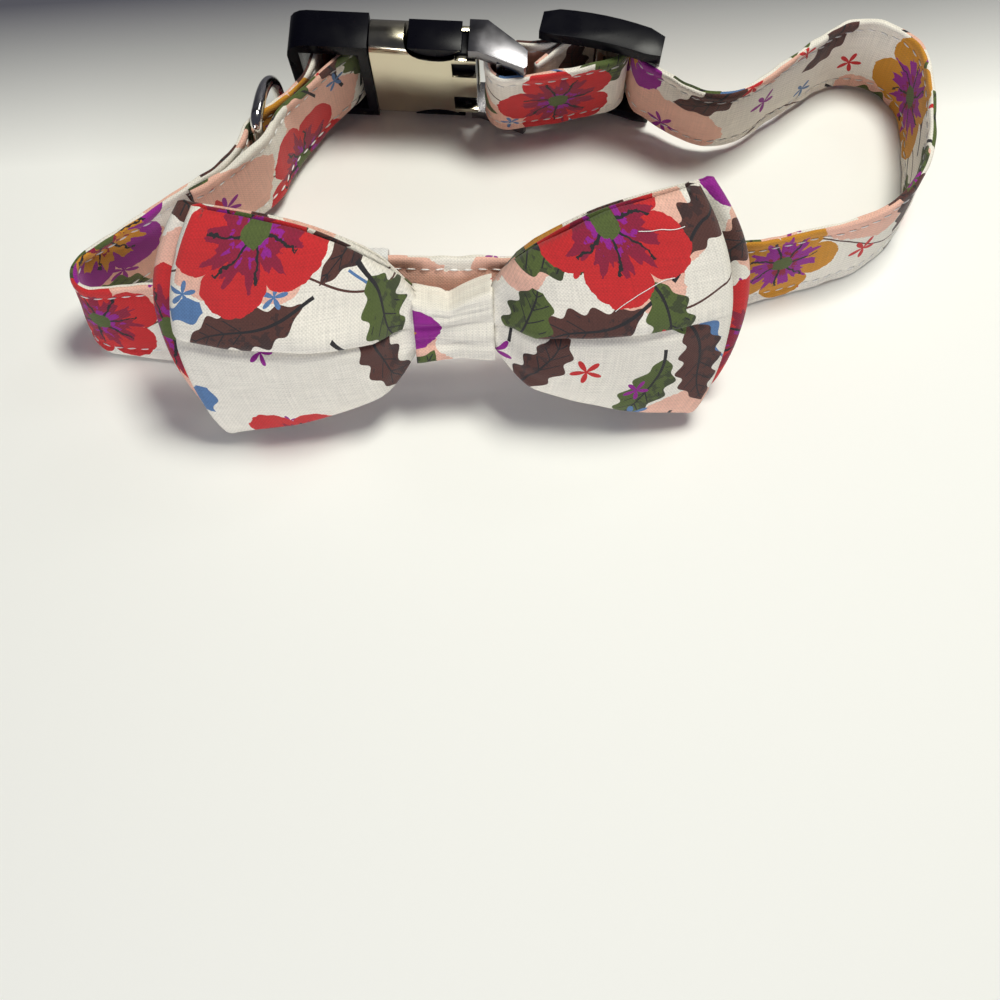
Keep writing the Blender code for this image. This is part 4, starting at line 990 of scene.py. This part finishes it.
def build_knot():
    """The cloth sleeve round the middle of the bow, drawn into fine creases and pinched at the top."""
    outline = rounded_outline(KNOT_FRONT - KNOT_BACK, 2 * KNOT_HALF_HEIGHT, KNOT_CORNER, 6)
    middle = (KNOT_FRONT + KNOT_BACK) / 2
    top = KNOT_HALF_HEIGHT - KNOT_CORNER
    low_place = KNOT_TOP_LOW[0]

    def shape(share, around):
        crease = 0.26 * wander(share * 0.8, around / 0.85, 2.0)
        crease += 0.42 * wander(share * 0.6, around / 2.4, 4.0)
        pinch = math.exp(-((share - low_place) / 0.16) ** 2 - ((around - top) / 4.0) ** 2)
        return crease * (1 - 0.4 * share * share) + 0.3 * share * share - 0.35 - KNOT_PINCH * pinch

    def drawn(x, up):
        edge = read_curve(KNOT_TOP if up > 0 else KNOT_BOTTOM, x / KNOT_HALF_WIDTH)
        return up * edge / KNOT_HALF_HEIGHT
    rows, around = band(outline, KNOT_HALF_WIDTH, KNOT_WALL, KNOT_COLUMNS, shape)
    world = bow_frame()
    points = [[world @ Vector((x, drawn(x, at.y), middle + at.x)) for x, at in row] for row in rows]

    def cloth(i, j, face_column):
        once_more = around[-1] if around[face_column] < KNOT_SEAM else 0.0
        return KNOT_CUT[0] + rows[i % len(rows)][0][0], KNOT_CUT[1] + around[j] + once_more
    knot = skin("bow_knot_cloth", points, cloth, wrap_rows=True)
    return place(knot, "printed", "bow_knot")


def build_keeper(name, node, path):
    """A ribbed elastic loop round the strap behind a wing."""
    low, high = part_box(node)
    middle_x = (low[0] + high[0]) / 2
    behind_the_bow = (path.length * i / 2000 for i in range(600, 1100))
    at = min(behind_the_bow, key=lambda along: abs(path.read(along)[0].x * MM - middle_x))
    outline = rounded_outline(STRAP_THICK + 2 * KEEPER_PLAY, 2 * (STRAP_HALF_WIDTH + KEEPER_PLAY),
                              KEEPER_CORNER, 4)
    rows, around = band(outline, KEEPER_HALF_WIDTH, KEEPER_WALL, KEEPER_COLUMNS,
                        lambda share, _: KEEPER_RIB * (math.cos(share * 12.0) - 1))
    points = []
    for row in rows:
        frames = [path.read(at + x) for x, _ in row]
        points.append([(middle + face * spot.x + across * spot.y) * MM
                       for (middle, across, face), (_, spot) in zip(frames, row)])
    keeper = skin(name, points, lambda i, j, _: (rows[i % len(rows)][0][0], around[j]), wrap_rows=True)
    return place(keeper, "elastic", node)


def build_loose_thread(name, front, start, end, sag):
    """A short end of white thread lying on a wing, between two places in the bow's own frame."""
    cloth = BVHTree.FromPolygons([corner.co for corner in front.data.vertices],
                                 [face.vertices for face in front.data.polygons])
    world = bow_frame()
    inward = (world.to_3x3() @ Vector((0, 0, -1))).normalized()
    middles = []
    for step in range(LOOSE_STEPS + 1):
        t = step / LOOSE_STEPS
        x = start[0] + (end[0] - start[0]) * t
        y = start[1] + (end[1] - start[1]) * t - sag * math.sin(math.pi * t)
        y += LOOSE_WANDER * wander(t * 3.0, start[0])
        hit = cloth.ray_cast(world @ Vector((x, y, ABOVE_THE_BOW)), inward)[0]
        middles.append(hit - inward * LOOSE_RADIUS * MM)
    rows = []
    for i, middle in enumerate(middles):
        run = (middles[min(i + 1, LOOSE_STEPS)] - middles[max(i - 1, 0)]).normalized()
        side = run.cross(inward).normalized()
        rows.append([middle + LOOSE_RADIUS * MM * (math.cos(angle) * side + math.sin(angle) * run.cross(side))
                     for angle in (2 * math.pi / LOOSE_SIDES * k for k in range(LOOSE_SIDES))])
    return place(skin(name, rows, capped=True), "thread")


# Hard pieces

def build_ring():
    """The D-ring: round wire bent to a straight side and a half circle, as one closed loop; its joint in the
    middle is not drawn.
    """
    corner = RING_CORNER
    arcs = (((RING_DEPTH - RING_REACH, 0.0), RING_REACH, -90, 90, 40),
            ((corner, RING_REACH - corner), corner, 90, 180, 10),
            ((corner, corner - RING_REACH), corner, 180, 270, 10))
    route = []
    for (x, z), radius, start, end, steps in arcs:
        for step in range(steps + 1):
            angle = math.radians(start + (end - start) * step / steps)
            out = Vector((math.cos(angle), 0.0, math.sin(angle)))
            route.append((Vector((x, 0.0, z)) + radius * out, out))
    turn = Matrix.Rotation(math.radians(RING_TURN), 4, "Z")
    world = Matrix.Translation(RING_PLACE) @ turn @ Matrix.Scale(MM, 4)
    angles = [2 * math.pi * side / RING_SIDES for side in range(RING_SIDES)]
    side = Vector((0, 1, 0))
    rows = [[world @ (point + RING_WIRE_RADIUS * (math.cos(angle) * out + math.sin(angle) * side))
             for angle in angles] for point, out in route]
    ring = skin("ring_wire", rows, wrap_rows=True)
    return place(ring, "chrome", "d_ring", body="ring")


def build_hard(name, node, finish, softness):
    """A hard piece with the CAD's shape and softly broken edges."""
    bm = merged(node)
    mesh = bpy.data.meshes.new(name)
    bm.to_mesh(mesh)
    bm.free()
    obj = put(name, mesh)
    if softness:
        modify(obj, "BEVEL", width=softness * MM, segments=EDGE_SEGMENTS, limit_method="ANGLE",
               angle_limit=EDGE_ANGLE, use_clamp_overlap=True)
    obj.data.shade_smooth()
    obj.data.set_sharp_from_angle(angle=SHARP_ANGLE)
    return place(obj, finish, node)


# Studio

def build_studio():
    """A pale sweep with painted shade that darkens it further back, soft light from above and behind, and the
    camera above the front.
    """
    profile = [(-SWEEP_REACH, 0.0), (SWEEP_FLAT, 0.0)]
    for step in range(1, SWEEP_STEPS + 1):
        angle = math.pi / 2 * step / SWEEP_STEPS
        profile.append((SWEEP_FLAT + SWEEP_RADIUS * math.sin(angle), SWEEP_RADIUS * (1 - math.cos(angle))))
    profile.append((SWEEP_FLAT + SWEEP_RADIUS, SWEEP_REACH))
    mesh = bpy.data.meshes.new("sweep")
    points = [(x, y, z - SWEEP_DROP) for y, z in profile for x in (-SWEEP_REACH, SWEEP_REACH)]
    mesh.from_pydata(points, [], [(2 * i, 2 * i + 1, 2 * i + 3, 2 * i + 2) for i in range(len(profile) - 1)])
    mesh.shade_smooth()
    material, w, shader = new_material("pale paper with painted falloff", Roughness=0.75)
    x, y, _ = w.split(w.place())
    # Painted shade: the paper darkens further back, as the light would fall off there
    painted_falloff = w.ramp(y + x * PAPER_SHADE_SLOPE, *PAPER_SHADE_FADE)
    w.feed(shader.inputs["Base Color"], w.over(PAPER_NEAR, painted_falloff, PAPER_FAR_PAINTED_SHADE))
    mesh.materials.append(material)
    put("sweep", mesh)
    for name, at, aim, size, power, colour in LIGHTS:
        data = adjust(bpy.data.lights.new(name, "AREA"), shape="RECTANGLE", size=size[0], size_y=size[1],
                      energy=power, color=colour)
        turn = (Vector(aim) - Vector(at)).to_track_quat("-Z", "Y").to_euler()
        put(name, data, location=at, rotation_euler=turn)
    scene = bpy.context.scene
    scene.world = bpy.data.worlds.new("studio")
    scene.world.use_nodes = True
    background = scene.world.node_tree.nodes["Background"].inputs
    background["Color"].default_value = WORLD_COLOUR
    background["Strength"].default_value = WORLD_STRENGTH
    scene.view_settings.view_transform = "Standard"
    lens = adjust(bpy.data.cameras.new("camera"), lens=CAMERA_LENS, sensor_width=CAMERA_SENSOR,
                  clip_start=CAMERA_NEAR)
    scene.camera = put("camera", lens, location=CAMERA_PLACE, rotation_euler=(CAMERA_TILT, 0.0, 0.0))


def main():
    make_materials()
    build_studio()
    path = StrapPath()
    build_strap(path)
    build_strap_stitches(path)
    front = build_layer("bow_front_cloth", "bow_front", FRONT_LAYER, True)
    back = build_layer("bow_back_cloth", "bow_back", BACK_LAYER, False)
    knot = build_knot()
    for name, start, end, sag in LOOSE_THREADS:
        build_loose_thread(name, front, start, end, sag)
    for side in ("left", "right"):
        build_keeper("keeper_%s_elastic" % side, "bow_keeper_" + side, path)
    for piece in HARD_PIECES:
        build_hard(*piece)
    build_ring()


main()
